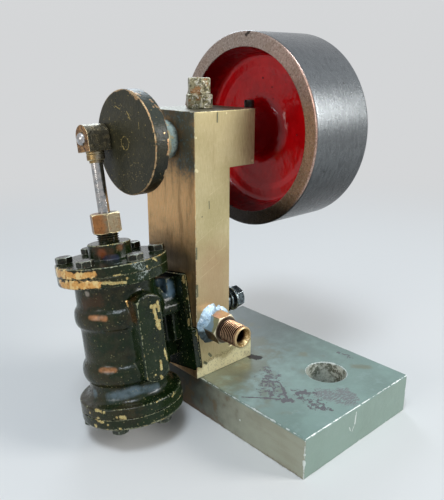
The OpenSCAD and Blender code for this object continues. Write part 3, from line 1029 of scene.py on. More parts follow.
def threaded(mesh: Mesh, radius: float, pitch: float, turns: float, finish: Material, axes: Axes
             ) -> Mesh:
    """Winds the ridge of a thread round a stem.

    Args:
        mesh: The stem's mesh, which takes up the ridge.
        radius: Outside radius of the thread.
        pitch: Height of a turn.
        turns: Number of turns.
        finish: Material.
        axes: Axes of the thread, at its start.

    Returns:
        The mesh with its thread.
    """
    depth = pitch * 0.58
    ridge = coil(radius - depth, pitch * turns, turns, depth, 3, math.pi, finish, axes)
    work = bmesh.new()
    work.from_mesh(mesh)
    work.from_mesh(ridge)
    work.to_mesh(mesh)
    work.free()
    mesh.set_sharp_from_angle(angle=SHARP)
    return mesh


# ---- Finishes ----


@dataclass(frozen=True)
class BasePaint:
    """Pale grey-green paint of the base plate, scratched, chipped and stained."""

    top: float = 12.0
    hole: Point = (6.85, -17.8, 12.0)
    bore: float = 6.0
    scratches: tuple[Mark, ...] = (
        (-21.5, -10.9, 12, -17.2, -15.5, 12, 0.34), (-17.2, -15.5, 12, -13.9, -19.8, 12, 0.5),
        (-14.2, -19.8, 12, -12.9, -21.2, 12, 1.3), (-12.8, -19.6, 12, -9.6, -15.2, 12, 0.55),
        (-8.6, -19.7, 12, -6.8, -21.6, 12, 1.1), (-9.6, -15.2, 12, -8.2, -12.8, 12, 0.3),
    )
    flecks: tuple[Mark, ...] = (
        (-13.6, -14.6, 12, -8.0, -8.4, 12, 3.6), (-8.0, -8.4, 12, -5.4, -4.6, 12, 1.8),
        (-8.6, -19.4, 12, -5.8, -22.6, 12, 2.0), (-9.6, -22.8, 12, -8.0, -28.4, 12, 1.9),
        (-11.8, -26.6, 12, -8.6, -30.4, 12, 1.4), (20.0, -13.0, 12, 19.4, -17.4, 12, 0.9),
    )
    scuffs: tuple[Mark, ...] = (
        (-3.4, -25.2, 12, -1.0, -31.2, 12, 3.9), (1.4, -28.2, 12, 0.6, -31.4, 12, 3.0),
    )
    stains: tuple[Mark, ...] = (
        (-9.4, 1.2, 12, 3.0), (-15.5, -3.4, 12, 1.8), (-11.5, 27.4, 12, -23.0, 27.4, 12, 3.0),
        (16.0, -21.5, 12, 18.5, -24.5, 12, 1.6), (10.4, -6.0, 12, 2.0),
    )
    nicks: tuple[Mark, ...] = (
        (-2.1, -35.1, 9.4, -2.3, -35.1, 7.0, 0.34), (-2.0, -35.1, 10.4, -2.0, -35.1, 9.2, 0.2),
        (-4.8, -35.1, 6.9, -4.2, -35.1, 5.6, 0.16), (-2.6, -35.1, 6.4, -3.4, -35.1, 5.0, 0.14),
        (-23.3, -35.1, 4.4, -23.3, -35.0, 5.4, 0.6), (-23.3, -35.1, 7.4, 0.5),
        (-23.35, -12.0, 6.0, 0.35),
    )
    pool: Mark = (-3.0, 3.8, 12, -2.0, 2.0, 12, 1.7)
    oil: Point = (-14.0, 10.0, 12.0)

    def made(self) -> Material:
        """Makes the material.

        Returns:
            The material.
        """
        s = Surface("base_paint")
        p = s.place()
        x, y, z = p.parts()
        broad, middle, fine, hair = s.grains(p, 16, 4, 0.9, 0.3)
        torn = s.grain(p, 1.5, 5, rough=0.68).swing(4.6) + hair.swing(1.2)
        top = z.rising(self.top - 0.9, self.top - 0.2)
        away = (p - self.oil).length()
        left = (-x).rising(22.9, 23.25) * (1.0 - top)
        rear = (y + middle.swing(24.0)).rising(-24.0, 16.0)
        streak = s.grain(p, 3.0, 4, stretch=(1, 0.25, 1.5))
        low = (1.4 - z + broad.swing(5.0) + fine.swing(2.0) + rear * 1.6).rising(0.0, 2.4)
        scratched = s.marks(p, torn * 0.8, self.scratches).rising(0.1, 0.3)
        scratched = scratched.over(s.flecks(p, s.marks(p, torn * 0.3, self.flecks), 1.5)) * top
        hatch = s.grain(p, 0.8, 4, stretch=(0.5, 1.6, 1), rough=0.7)
        scuffed = s.marks(p, torn * 0.35, self.scuffs).rising(0.1, 0.45)
        scuffed = scuffed * hatch.rising(0.42, 0.5) * top
        stained = s.marks(p, torn * 0.35, self.stains).rising(-0.2, 0.7)
        pool = s.marks(p, torn * 0.3, (self.pool,)).rising(0.0, 0.3)
        oiled = (broad + middle * 0.6 - away * 0.018).rising(0.34, 0.56) * top
        hole = s.marks(p, 0.0, (self.hole + (self.hole[0], self.hole[1], 0.0, self.bore * 2),))
        inside = hole.rising(0.496, 0.503) * (1.0 - z.rising(self.top - 0.5, self.top - 0.1))
        lip = hole.rising(0.478, 0.486) * (1.0 - inside) * (fine + hair).rising(0.92, 1.06)
        nicked = s.marks(p, torn * 0.25, self.nicks).rising(0.1, 0.3)
        rubbed = s.wear() + s.grain(p, 2.6, 5, rough=0.7).swing(3.0) + hair.swing(1.2)
        bare = rubbed.rising(0.7, 0.95).over(nicked)
        # Inside of the hole: a pale wall with dirt and rust specks, and painted shade that darkens
        # it towards the bottom.
        hole_dirt_and_shade = s.layered(
            "dcdfd2",
            (middle.rising(0.42, 0.54), "50472f"), (fine.rising(0.5, 0.58, 0.8), "e6e3d2"),
            (hair.rising(0.54, 0.62), "6e4722"), ((5.0 - z).rising(-4.0, 6.0, 0.8), "2c271c"),
        )
        colour = s.layered(
            "839d95",
            (broad.rising(0.38, 0.62), "758c84"), (middle.rising(0.5, 0.72, 0.4), "98afac"),
            # Painted shade: the top darkens towards the rear.
            (rear * top * 0.9, "434e46"), (oiled * 0.5, "5f5d3a"),
            ((1.0 - top) * (1.0 - left) * 0.55, "899b8c"), (left * 0.8, "a09d88"),
            (left * (streak + broad).rising(0.94, 1.2, 0.3), "84806a"),
            # Painted shade darkens the left face towards the rear; rust browns it along the bottom.
            (left * rear * 0.9, "282c25"), (left * low * 0.85, "5f4630"),
            (left * (middle + broad).rising(1.0, 1.16) * rear.rising(0.1, 0.6) * 0.6, "6b5535"),
            (stained * 0.5, "6c6543"), (hair.rising(0.6, 0.72, 0.3), "5e6a60"),
            (scuffed * 0.8, "716e71"), (scratched * 0.95, "625f63"),
            (pool, "1b120a"), (inside, hole_dirt_and_shade), (bare.over(lip) * 0.85, "dfe5e1"),
        )
        height = (
            s.grain(p, 1.1, 2).swing(0.04) + broad.swing(0.3)
            - scratched.over(scuffed) * 0.04 - bare * 0.05 + hair.swing(0.02)
        )
        rough = 0.3 + middle * 0.16 + scratched.over(pool) * 0.3 + left * 0.12
        return s.finish(colour, rough.clipped(), bare * 0.3, height)


@dataclass(frozen=True)
class StandardBrass:
    """Brushed and tarnished brass of the standard, stained round the shaft and the nipple."""

    patina: tuple[Mark, ...] = (
        (-24.5, 15.8, 80.5, 10.5), (-24.5, 9.0, 86.0, -24.5, 7.0, 77.0, 8.0),
        (-24.5, 17.0, 88.0, -24.5, 6.0, 88.0, 5.5),
    )
    # Painted shade on the left face, where the cylinder shades it.
    grime: tuple[Mark, ...] = (
        (-24.5, 6.0, 47, -24.5, 26.0, 47, 6.5), (-24.5, 5.8, 44, -24.5, 4.8, 20, 3.0),
        (-24.5, 15.8, 24, -24.5, 17.0, 42, 13.5),
    )
    heat: tuple[Mark, ...] = (
        (-18.3, 4.8, 27.9, 11.0), (-16.0, 4.8, 33.0, -18.5, 4.8, 45.0, 10.0),
    )
    dents: tuple[Mark, ...] = (
        (-16.6, 4.8, 87.6, -16.7, 4.8, 85.3, 0.3), (-19.7, 4.8, 64.4, -19.6, 4.8, 62.4, 0.2),
        (-20.0, 4.8, 18.6, -19.2, 4.8, 17.6, 0.5), (-21.8, 4.8, 16.4, -21.0, 4.8, 15.8, 0.5),
        (-24.3, 4.8, 41.0, -24.3, 4.8, 38.0, 0.6), (-24.3, 4.8, 52.0, -24.3, 4.8, 49.0, 0.4),
        (-22.2, 4.8, 60.5, 0.25),
    )
    scratches: tuple[Mark, ...] = (
        (-24.0, 4.8, 45.4, -13.6, 4.8, 50.6, 0.09), (-23.2, 4.8, 43.0, -16.0, 4.8, 46.2, 0.08),
        (-24.2, 4.8, 53.6, -14.0, 4.8, 58.8, 0.07), (-19.6, 4.8, 66.0, -12.8, 4.8, 69.4, 0.07),
    )
    # Painted highlights: small glints on the front face's edges.
    glints: tuple[Mark, ...] = (
        (-24.0, 4.8, 81.7, 0.4), (-24.1, 4.8, 73.4, -23.7, 4.8, 73.0, 0.5),
        (-3.4, 4.8, 73.8, 0.5), (-13.4, 4.8, 87.4, 0.4),
    )

    def made(self) -> Material:
        """Makes the material.

        Returns:
            The material.
        """
        s = Surface("standard_brass")
        p = s.place()
        x, y, z = p.parts()
        broad, patch, fine, hair = s.grains(p, 14, 4, 0.8, 0.3)
        brush = s.grain(p, 0.5, 3, stretch=(2.4, 2.4, 0.16))
        line = s.grain(p, 0.2, 2, stretch=(3.0, 3.0, 0.14))
        streaks = s.grain(p, 3.5, 5, stretch=(1.4, 1.4, 0.25), rough=0.65)
        torn = patch.swing(1.7) + fine.swing(0.7)
        left = (-x).rising(24.35, 24.5)
        front = 1.0 - (y - 4.95).rising(0.0, 0.15)
        roof = z.rising(88.0, 88.15)
        # Painted shade on the right of the head's front face.
        shade = front * (x + patch.swing(6.0)).rising(-11.0, -5.0) * z.rising(70.0, 76.0)
        dull = left * s.marks(p, torn, self.patina).rising(-0.1, 0.9)
        # Painted shade, dark brown, on the left face beside the cylinder.
        shaded_by_cylinder = left * s.marks(p, torn * 0.6, self.grime).rising(-0.3, 0.9)
        hot = front * s.marks(p, torn * 0.3, self.heat).rising(-0.3, 0.9)
        dented = s.marks(p, torn * 0.25, self.dents).rising(0.1, 0.4)
        shining = s.marks(p, torn * 0.2, self.glints).rising(0.1, 0.4)
        scored = s.marks(p, patch.swing(4.0), self.scratches).rising(0.0, 0.6)
        drop = (x + 24.5) * 0.06 - z
        # Painted light: the foot of the front face is made much paler, with a dark line along its
        # top.
        foot = front * (drop + 16.0 + patch.swing(7.0) + fine.swing(3.0)).rising(0.0, 2.0)
        tide = front * (1.0 - abs(drop + 16.3 + fine.swing(5.0)) / 0.35).over(0.0)
        worn = (s.wear() + fine.swing(1.8) + patch.swing(1.4)).rising(0.8, 1.02)
        colour = s.layered(
            "c7ba8f",
            # The left face is tinted orange-tan, a painted reflection.
            (broad.rising(0.36, 0.64), "b8ab7f"), (left * 0.95, "e3b27a"),
            (brush.rising(0.46, 0.66, 0.35), "a39467"), (line.rising(0.54, 0.68, 0.35), "e6ddbb"),
            (streaks.rising(0.52, 0.68, 0.25), "a08c60"),
            (left * streaks.rising(0.46, 0.64, 0.4), "8a6238"),
            (shade * brush.rising(0.38, 0.6, 0.55), "9a8464"), (roof * 0.9, "56554a"),
            (shaded_by_cylinder * 0.78, "40371f"), (dull * 0.93, "4d4f44"),
            (dull * fine.rising(0.52, 0.66) * 0.6, "6f8587"),
            (dull * (1.0 - patch).rising(0.5, 0.62) * 0.5, "6b4d2c"),
            (hot * 0.6, "b3906f"), (foot * 0.85, "f6ecbf"), (tide * 0.6, "4f4423"),
            (foot * (fine + hair).rising(1.04, 1.14) * 0.35, "6b5c30"),
            (hair.rising(0.6, 0.7, 0.35), "6c6040"), (dented * 0.8, "56604f"),
            (scored * 0.35, "e9ddb2"), (worn.over(shining) * 0.7, "efe6bd"),
        )
        height = (
            brush.swing(0.04) + line.swing(0.03) + patch.swing(0.04)
            + hair.swing(0.015) - dented * 0.12
        )
        rough = 0.36 + brush.swing(0.3) + dull * 0.12
        metal = 0.82 - dull * 0.4 - shaded_by_cylinder * 0.3 - foot * 0.3
        return s.finish(colour, rough.clipped(), metal, height)


@dataclass(frozen=True)
class MottledBrass:
    """Corroded brass of the oil cup."""

    def made(self) -> Material:
        """Makes the material.

        Returns:
            The material.
        """
        s = Surface("oil_cup_brass")
        p = s.place()
        broad, patch, fine, hair = s.grains(p, 3.2, 1.6, 0.6, 0.25)
        other = s.grain(p + (9, 4, 7), 1.9, 4)
        colour = s.layered(
            "8c866a",
            (broad.rising(0.42, 0.58), "66613f"), (patch.rising(0.5, 0.58, 0.85), "b5b2a2"),
            (other.rising(0.54, 0.62, 0.85), "8a5f36"),
            ((1.0 - other).rising(0.56, 0.64, 0.9), "413e28"),
            (fine.rising(0.56, 0.64, 0.85), "d9d6c8"), (hair.rising(0.58, 0.66, 0.7), "4c472f"),
            ((s.wear() + patch.swing(2.5)).rising(0.75, 1.0) * 0.6, "cbc3a2"),
        )
        height = patch.swing(0.3) + fine.swing(0.15)
        return s.finish(colour, 0.34 + patch * 0.25, 0.6, height)


@dataclass(frozen=True)
class NippleBronze:
    """Heat-stained turned brass of the steam nipple."""

    hexagon: float = 5.6
    flat: float = 3.95
    thread: float = 3.175
    mouth: float = 12.6
    bore: float = 1.7

    def made(self) -> Material:
        """Makes the material.

        Returns:
            The material.
        """
        s = Surface("nipple_bronze")
        p = s.place(NIPPLE)
        x, y, out = p.parts()
        away = p.away()
        patch, fine, hair = s.grains(p, 1.2, 0.5, 0.25)
        stem = out.rising(self.hexagon - 0.05, self.hexagon + 0.1)
        # Painted shade on the hexagon's end face and the root of the thread beside it.
        facing = out.rising(self.hexagon - 0.12, self.hexagon - 0.03)
        facing = facing * (1.0 - out.rising(self.hexagon + 0.4, self.hexagon + 0.5))
        # Facet colours by how each faces: a painted orange-pink reflection on the top facet, and
        # painted shade on the lower-left facets.
        upper = (y + fine.swing(0.3)).rising(self.flat - 0.25, self.flat - 0.1)
        lower = (x * -0.87 - y * 0.5).rising(self.flat - 0.25, self.flat - 0.1)
        tinned = (-x - out * 0.9 + y * 0.15 + patch.swing(3.0)).rising(0.1, 0.7)
        tinned = tinned * (1.0 - lower)
        # Painted shade: the thread's grooves are near black, and darker still by the hexagon;
        # painted highlight: the crests are lighter on their upper side.
        crest = (away + fine.swing(0.06)).rising(self.thread - 0.16, self.thread - 0.05)
        lit = (y - x * 0.4 + patch.swing(2.0)).rising(-1.2, 1.0)
        threads = s.layered(
            "150c0a", (crest, "8a5640"), (crest * lit * 0.75, "dcb892"),
            ((self.hexagon + 0.9 - out).rising(0.0, 0.2) * 0.8, "2a1f24"),
        )
        seat = out.rising(self.mouth - 1.9, self.mouth - 0.9) * (1.0 - away.rising(2.55, 2.7))
        # Painted shade deep in the bore.
        deep = (1.0 - away.rising(self.bore, self.bore + 0.35)) * (1.0 - out.rising(11.2, 12.2))
        edge = (s.wear() + fine.swing(1.2)).rising(0.5, 0.9) * (1.0 - stem)
        colour = s.layered(
            "b7b68e",
            (patch.rising(0.42, 0.58, 0.4), "a09c74"), (upper, "bda183"),
            (upper * (patch - x * 0.1).rising(0.5, 0.7, 0.7), "bd8a80"), (lower, "5b4526"),
            (lower * patch.rising(0.46, 0.6, 0.7), "3a2f22"),
            (tinned * (1.0 - upper) * 0.9, "a9c6d8"),
            (fine.rising(0.6, 0.7, 0.4), "4b3a26"), (stem, threads),
            (edge * 0.8, "f0e4c2"), (facing * 0.85, "584139"),
            (out.rising(self.mouth - 0.45, self.mouth - 0.3) * 0.9, "cdb083"),
            (seat, "a98f62"), (seat * fine.rising(0.52, 0.6), "d9c79c"), (deep * 0.9, "4a3524"),
        )
        height = fine.swing(0.05) + hair.swing(0.02)
        return s.finish(colour, 0.26 + patch * 0.16, 0.62 + stem * 0.3, height)


@dataclass(frozen=True)
class Solder:
    """Soft solder run round the nipple's root."""

    def made(self) -> Material:
        """Makes the material.

        Returns:
            The material.
        """
        s = Surface("solder")
        p = s.place(NIPPLE)
        _, y, _ = p.parts()
        broad, patch, fine = s.grains(p, 3.0, 1.2, 0.5)
        # Painted shade: the lower side of the run is dark.
        low = (y * -0.7 + patch.swing(3.0)).rising(-0.4, 1.4)
        colour = s.layered(
            "c6dfee",
            (broad.rising(0.42, 0.6), "92aec4"), (patch.rising(0.55, 0.68, 0.6), "eef5f8"),
            (low * 0.9, "333c3c"), (fine.rising(0.58, 0.66, 0.7), "6c7478"),
        )
        height = patch.swing(0.35) + fine.swing(0.2)
        return s.finish(colour, 0.26 + fine * 0.2, 0.55, height)


@dataclass(frozen=True)
class PlainSteel:
    """Polished or oil-blackened steel of a small part.

    Attributes:
        name: The material's name.
        axes: Axes of the part.
        light: Lighter colour of the steel.
        deep: Darker colour of the steel.
        spot: Colour of the specks.
        edge: Colour of the worn edges.
        rough: Least roughness.
        metal: Metallic.
        spotted: Strength of the specks.
        worn: Strength of the worn edges.
    """

    name: str
    axes: Axes = ENGINE
    light: str = "aeb4ba"
    deep: str = "7c838a"
    spot: str = "6b5a4a"
    edge: str = "e4e8ea"
    rough: float = 0.14
    metal: float = 1.0
    spotted: float = 0.25
    worn: float = 0.6

    def made(self) -> Material:
        """Makes the material.

        Returns:
            The material.
        """
        s = Surface(self.name)
        p = s.place(self.axes)
        broad, patch, fine, hair = s.grains(p, 3.5, 1.6, 0.5, 0.22)
        draw = s.grain(p, 0.25, 2, stretch=(4, 4, 0.2))
        worn = (s.wear() + fine.swing(1.8) + (patch - 0.5)).rising(0.55, 0.9)
        colour = s.layered(
            self.light,
            (patch.rising(0.38, 0.62), self.deep),
            (fine.rising(0.55, 0.66, self.spotted), self.spot), (worn * self.worn, self.edge),
        )
        height = draw.swing(0.012) + fine.swing(0.03) + hair.swing(0.01)
        rough = self.rough + (broad - 0.4).over(0.0) * 0.5
        return s.finish(colour, rough.over(0.05), self.metal, height)


@dataclass(frozen=True)
class DiscPaint:
    """Dark paint of the crank disc, scratched and worn to bare metal at its edges."""

    radius: float = 13.4
    centre_mark: float = 1.7
    scratches: tuple[Mark, ...] = (
        (-38.4, 14.4, 88.4, -38.4, 12.6, 86.7, 1.1), (-38.4, 21.0, 89.9, -38.4, 15.6, 88.8, 1.0),
        (-38.4, 16.9, 79.8, -38.4, 15.9, 78.8, 0.9), (-38.4, 17.2, 80.9, -38.4, 16.9, 79.9, 0.8),
        (-38.4, 22.0, 84.0, 2.6), (-38.4, 10.0, 75.0, -38.4, 16.0, 71.0, 2.4),
    )
    lines: tuple[Mark, ...] = (
        (-38.4, 14.4, 88.5, -38.4, 13.2, 87.2, 0.16), (-38.4, 13.9, 87.2, -38.4, 12.9, 86.8, 0.13),
        (-38.4, 19.6, 89.6, -38.4, 17.4, 88.9, 0.12), (-38.4, 16.9, 79.8, -38.4, 16.3, 79.0, 0.2),
        (-38.4, 9.4, 86.2, -38.4, 9.2, 84.6, 0.1),
    )
    chips: tuple[Mark, ...] = (
        (-38.2, 12.6, 93.5, -38.2, 9.6, 91.9, 0.7), (-37.6, 11.0, 93.0, -37.3, 9.6, 92.0, 0.5),
        (-35.6, 8.4, 91.4, -35.0, 6.4, 89.8, 0.5), (-36.8, 3.4, 76.6, 0.5), (-35.4, 2.9, 84.0, 0.4),
        (-34.5, 6.4, 89.4, -34.4, 4.4, 86.0, 0.7), (-34.4, 2.7, 82.4, -34.5, 2.6, 79.0, 0.7),
        (-34.6, 4.6, 73.6, -34.6, 3.9, 75.0, 0.6), (-36.0, 6.4, 89.8, 0.5),
        (-38.3, 20.0, 93.2, -38.3, 17.0, 93.8, 0.5),
    )

    def made(self) -> Material:
        """Makes the material.

        Returns:
            The material.
        """
        s = Surface("disc_paint")
        p = s.place()
        x, _, z = p.parts()
        away = s.place(SHAFT).away()
        broad, patch, fine, hair = s.grains(p, 7, 1.6, 0.45, 0.2)
        torn = fine.swing(3.0) + patch.swing(1.6)
        rim = (away - self.radius + 0.3).rising(0.0, 0.2)
        speck = (0.2 - s.cells(p, 0.9)).rising(0.0, 0.05) * fine.rising(0.52, 0.6)
        ring = (1.0 - abs(away - self.centre_mark) / 0.14).rising(0.0, 0.5)
        ring = ring * fine.rising(0.44, 0.54)
        gold = s.dots(p, s.marks(p, 0.0, self.scratches), 0.5).over(ring).over(speck)
        gold = gold.over(s.marks(p, fine.swing(1.5), self.lines).rising(0.1, 0.4))
        front = (-x).rising(37.3, 37.9)
        edge = s.wear() + fine.swing(2.0 - front) + patch.swing(2.4 - front * 1.5)
        edge = edge.rising(0.7, 0.88)
        bare = edge.over(s.marks(p, torn * 0.6, self.chips).rising(0.25, 0.4))
        cream = s.layered("c2ab84", (fine.rising(0.44, 0.56), "a5805c"))
        colour = s.layered(
            "302e20",
            (broad.rising(0.38, 0.62), "242417"), (patch.rising(0.5, 0.66, 0.5), "423d27"),
            # Painted light and shade on the rim: greyer towards the top, near black towards the
            # bottom.
            (rim * z.rising(78.0, 92.0) * 0.8, "2f3833"),
            (rim * (1.0 - z.rising(70.0, 84.0)) * 0.95, "090c06"),
            (hair.rising(0.6, 0.7, 0.35), "6d6747"), (gold * 0.75, "b29c5e"), (bare * 0.92, cream),
        )
        height = fine.swing(0.07) + patch.swing(0.05 + rim * 0.14) - gold * 0.03 - bare * 0.05
        metal = (bare * 0.7).over(gold * 0.4)
        return s.finish(colour, 0.24 + patch * 0.2, metal, height, Specular_IOR_Level=0.24)


@dataclass(frozen=True)
class CollarPaint:
    """Pale blue-green paint on the disc's collar."""

    cream: tuple[Mark, ...] = (
        (-28.8, 11.2, 83.6, -28.4, 10.6, 80.8, 1.3), (-28.6, 10.6, 79.6, -28.2, 11.2, 77.6, 1.4),
        (-27.2, 10.6, 81.6, 0.6), (-27.4, 12.6, 84.8, 0.6),
    )

    def made(self) -> Material:
        """Makes the material.

        Returns:
            The material.
        """
        s = Surface("collar_steel")
        p = s.place()
        x, _, _ = p.parts()
        broad, patch, fine = s.grains(p, 4, 1.4, 0.5)
        torn = fine.swing(2.4) + patch.swing(2.0)
        chipped = s.marks(p, torn * 0.5, self.cream).rising(0.2, 0.35)
        worn = (s.wear() + torn * 0.5).rising(0.9, 1.1)
        # Painted shade at the collar's end beside the standard.
        shade_at_standard = (x + patch.swing(2.5)).rising(-26.8, -25.4)
        colour = s.layered(
            "cfe1da",
            (broad.rising(0.4, 0.6), "b2c8c0"), (fine.rising(0.54, 0.64, 0.5), "7b877e"),
            (patch.rising(0.54, 0.64, 0.5), "c4d5ce"), (chipped.over(worn) * 0.9, "dccfa4"),
            (shade_at_standard * 0.9, "23231d"),
        )
        height = fine.swing(0.06) + patch.swing(0.08)
        return s.finish(colour, 0.28 + patch * 0.2, 0.25, height)


@dataclass(frozen=True)
class WheelIron:
    """Red gloss paint inside the flywheel, and its bare turned rim and hub."""

    mouth: float = 24.3
    rim: float = 28.55
    hub: float = 7.2
    half: float = 11.75
    middle: float = 15.1
    nicks: tuple[Mark, ...] = (
        (3.35, 14.9, 107.8, 3.5, 13.6, 108.6, 0.6), (24.1, -1.4, 103.3, 0.3),
        (18.7, -8.9, 94.8, 0.35), (9.0, -11.2, 71.2, 0.4), (17.9, -12.4, 85.0, 0.3),
    )
    flaws: tuple[Mark, ...] = (
        (12.6, 16.7, 95.9, 0.5), (12.6, 12.8, 93.3, 0.35), (12.6, 2.3, 80.0, 0.35),
        (11.6, 4.2, 71.5, 11.6, 3.0, 66.5, 0.4), (11.6, 2.6, 65.0, 0.5),
        (12.4, 12.0, 90.0, 0.3), (12.6, 19.0, 98.0, 0.25),
    )

    def made(self) -> Material:
        """Makes the material.

        Returns:
            The material.
        """
        s = Surface("flywheel_iron")
        p = s.place()
        q = s.place(SHAFT)
        _, y, z = p.parts()
        _, _, along = q.parts()
        away = q.away()
        broad, patch, fine, hair = s.grains(p, 11, 2.6, 0.6, 0.25)
        face = abs(along - self.middle)
        coarse = s.grain(p, 0.55, 3, rough=0.7)
        outside = (away - self.rim + 0.2).rising(0.0, 0.15)
        lines = s.grain(q, 0.4, 3, stretch=(0.4, 0.4, 4))
        rings = s.grain(q, 0.5, 3, stretch=(2.2, 2.2, 0.3), swirl=0.4)
        rolled = s.grain(q, 1.6, 4, stretch=(0.6, 0.6, 1.4), rough=0.65)
        low = (84.0 - z + rolled.swing(8.0)).rising(0.0, 24.0)
        steel = s.layered(
            "75797b",
            (lines.rising(0.4, 0.62, 0.5), "5e6264"), (rolled.rising(0.5, 0.66, 0.35), "505355"),
            (hair.rising(0.56, 0.66, 0.5), "94989a"),
            # Painted reflection and shade: the outer steel is near black towards the bottom and
            # darker towards the top.
            (low * 0.93, "101112"),
            ((z - 94.0 + rolled.swing(8.0)).rising(0.0, 14.0, 0.6), "3a3d40"),
            ((0.13 - s.cells(p, 1.3)).rising(0.0, 0.05) * 0.6, "2b2a28"),
        )
        pink = (y - 15.8 + patch.swing(20.0)).rising(-30.0, 0.0)
        side = s.layered(
            "a3948a",
            ((1.0 - pink) * 0.9, "c49c8c"), (rings.rising(0.42, 0.6, 0.55), "85736a"),
            (patch.rising(0.5, 0.64, 0.4), "937b69"), (coarse.rising(0.54, 0.64, 0.6), "c6b8ad"),
            ((1.0 - coarse).rising(0.54, 0.64, 0.6), "5b4d45"),
            # Painted shade: the rim's side face is near black towards the bottom.
            ((67.0 - z).rising(0.0, 9.0, 0.93), "100e0d"),
        )
        # Painted highlight: a bluish-white line along the rim's outer edge.
        bright = (s.wear() + fine.swing(0.6)).rising(0.3, 0.6)
        bright = bright * (away - self.rim + 1.4).rising(0.0, 0.4)
        nicked = s.marks(p, fine.swing(1.6), self.nicks).rising(0.1, 0.4)
        inner = (self.mouth - away + patch.swing(0.8) + fine.swing(0.6)).rising(0.0, 0.12)
        ends = (face - self.half + 0.2).rising(0.0, 0.2) * (away - 12.0).rising(0.0, 1.0)
        inner = inner * (1.0 - ends) * (1.0 - (face - self.half - 4.5).rising(0.0, 0.3))
        flawed = s.marks(p, fine.swing(1.6), self.flaws).rising(0.1, 0.4)
        red = s.layered(
            "c4070e",
            (broad.rising(0.38, 0.62, 0.6), "a2050b"), (patch.rising(0.52, 0.7, 0.35), "d8141c"),
            # Painted shade: the red is near black round the hub and towards the rim's inner wall.
            ((self.hub + 3.5 - away).rising(0.0, 4.0) * 0.9, "220102"),
            ((away - 21.0 + patch.swing(2.0)).rising(0.0, 2.4) * 0.85, "2a0103"),
            (fine.rising(0.62, 0.7, 0.4), "560508"), (flawed * 0.8, "350204"),
        )
        colour = s.layered(
            side,
            (outside, steel), (bright * 0.9, "eef6fa"), (nicked * 0.85, "2b2724"), (inner, red),
        )
        runs = s.grain(p, 1.6, 3, stretch=(1, 1, 0.4))
        bare = 1.0 - inner
        height = (
            inner * (runs.swing(0.2) + broad.swing(0.5) + hair.swing(0.01) - flawed * 0.12)
            + bare * (lines.swing(0.015) + hair.swing(0.015) + rings.swing(0.03))
        )
        rough = bare * (0.1 + rolled * 0.16) + 0.07 + patch * 0.05
        return s.finish(colour, rough, bare * 0.9, height, Specular_IOR_Level=0.3)


@dataclass(frozen=True)
class CasePaint:
    """Dark green paint of the cylinder and its covers, chipped to the brass.

    Attributes:
        name: The material's name.
        chips: Places chipped to dull brass.
        bright: Places rubbed to bright brass.
        scuffs: Places rubbed grey.
        soot: Places darkened brown: painted shade under the top flange and on the neck under the
            gland nut, and brown patches on the boss.
        bias: How readily the edges are bare.
        speckle: Strength of the small specks.
        browned: Strength of the patchy brown on the side away from the standard, a painted
            reflection.
        tinted: Dusty, heated and worn places, and places of painted sky sheen, that have a colour
            of their own, each with its code.
    """

    name: str
    chips: tuple[Mark, ...] = ()
    bright: tuple[Mark, ...] = ()
    scuffs: tuple[Mark, ...] = ()
    soot: tuple[Mark, ...] = ()
    bias: float = 0.0
    speckle: float = 0.5
    browned: float = 0.5
    tinted: Tinted = ()

    def made(self) -> Material:
        """Makes the material.

        Returns:
            The material.
        """
        s = Surface(self.name)
        p = s.place(CYLINDER)
        x, _, _ = p.parts()
        broad, patch, fine, hair = s.grains(p, 8, 2.0, 0.6, 0.24)
        peel = s.grain(p, 0.9, 2)
        torn = s.grain(p, 1.2, 5, rough=0.7).swing(5.0) + hair.swing(1.6)
        # Painted reflection: the side away from the standard is browner, in patches.
        warm = (0.25 - x * 0.045 + broad.swing(1.4) + patch.swing(1.4)).rising(0.3, 0.95)
        dots = (0.24 - s.cells(p, 0.8)).rising(0.0, 0.06) * fine.rising(0.5, 0.6)
        edge = s.wear()
        line = (edge + fine.swing(2.0)).rising(0.7, 1.0)
        bare = (edge + patch.swing(3.0) + fine.swing(2.4) + self.bias).rising(1.2, 1.35)
        bare = bare.over(s.marks(p, torn * 0.6, self.chips).rising(0.16, 0.28))
        shown = s.marks(p, torn * 0.5 + patch.swing(1.8), self.bright).rising(0.05, 0.18)
        rubbed = s.marks(p, torn * 0.3, self.scuffs).rising(0.0, 0.7)
        rubbed = rubbed * (fine + hair).rising(0.96, 1.1)
        # Painted shade in brown under the top flange and the gland nut, with brown patches on the
        # boss.
        brown_and_shaded = s.marks(p, torn * 0.4, self.soot).rising(0.0, 0.8)
        # Breaks the tinted places, which hold dust and painted sky sheen, into patches.
        patchiness = (broad + patch).rising(0.4, 1.2, 0.85)
        tinted = [
            (s.marks(p, torn * 0.15, (mark,)).rising(-0.3, 0.6) * patchiness, code)
            for mark, code in self.tinted
        ]
        brass = s.layered("cbbd84", (fine.rising(0.44, 0.58), "b19a63"))
        gold = s.layered(
            "dda862",
            (fine.rising(0.5, 0.62, 0.7), "ad7640"), (patch.rising(0.48, 0.6, 0.8), "f0d596"),
        )
        colour = s.layered(
            "14230d",
            (broad.rising(0.4, 0.6), "0f1b0c"), (warm * self.browned * 0.85, "332c17"),
            (patch.rising(0.52, 0.66, 0.5), "1f2d1a"), (brown_and_shaded * 0.75, "452d17"), *tinted,
            (fine.rising(0.58, 0.7, 0.35), "454a30"), (dots * self.speckle, "a39a6c"),
            (line * 0.75, "9a9c7c"), (rubbed * 0.8, "99a39c"), (bare * 0.95, brass), (shown, gold),
        )
        height = (
            peel.swing(0.07) + fine.swing(0.05) + hair.swing(0.02)
            - bare.over(shown) * 0.06
        )
        rough = 0.05 + patch * 0.1 + fine * 0.06
        metal = (bare * 0.6).over(shown * 0.6)
        return s.finish(colour, rough, metal, height, Specular_IOR_Level=0.26)


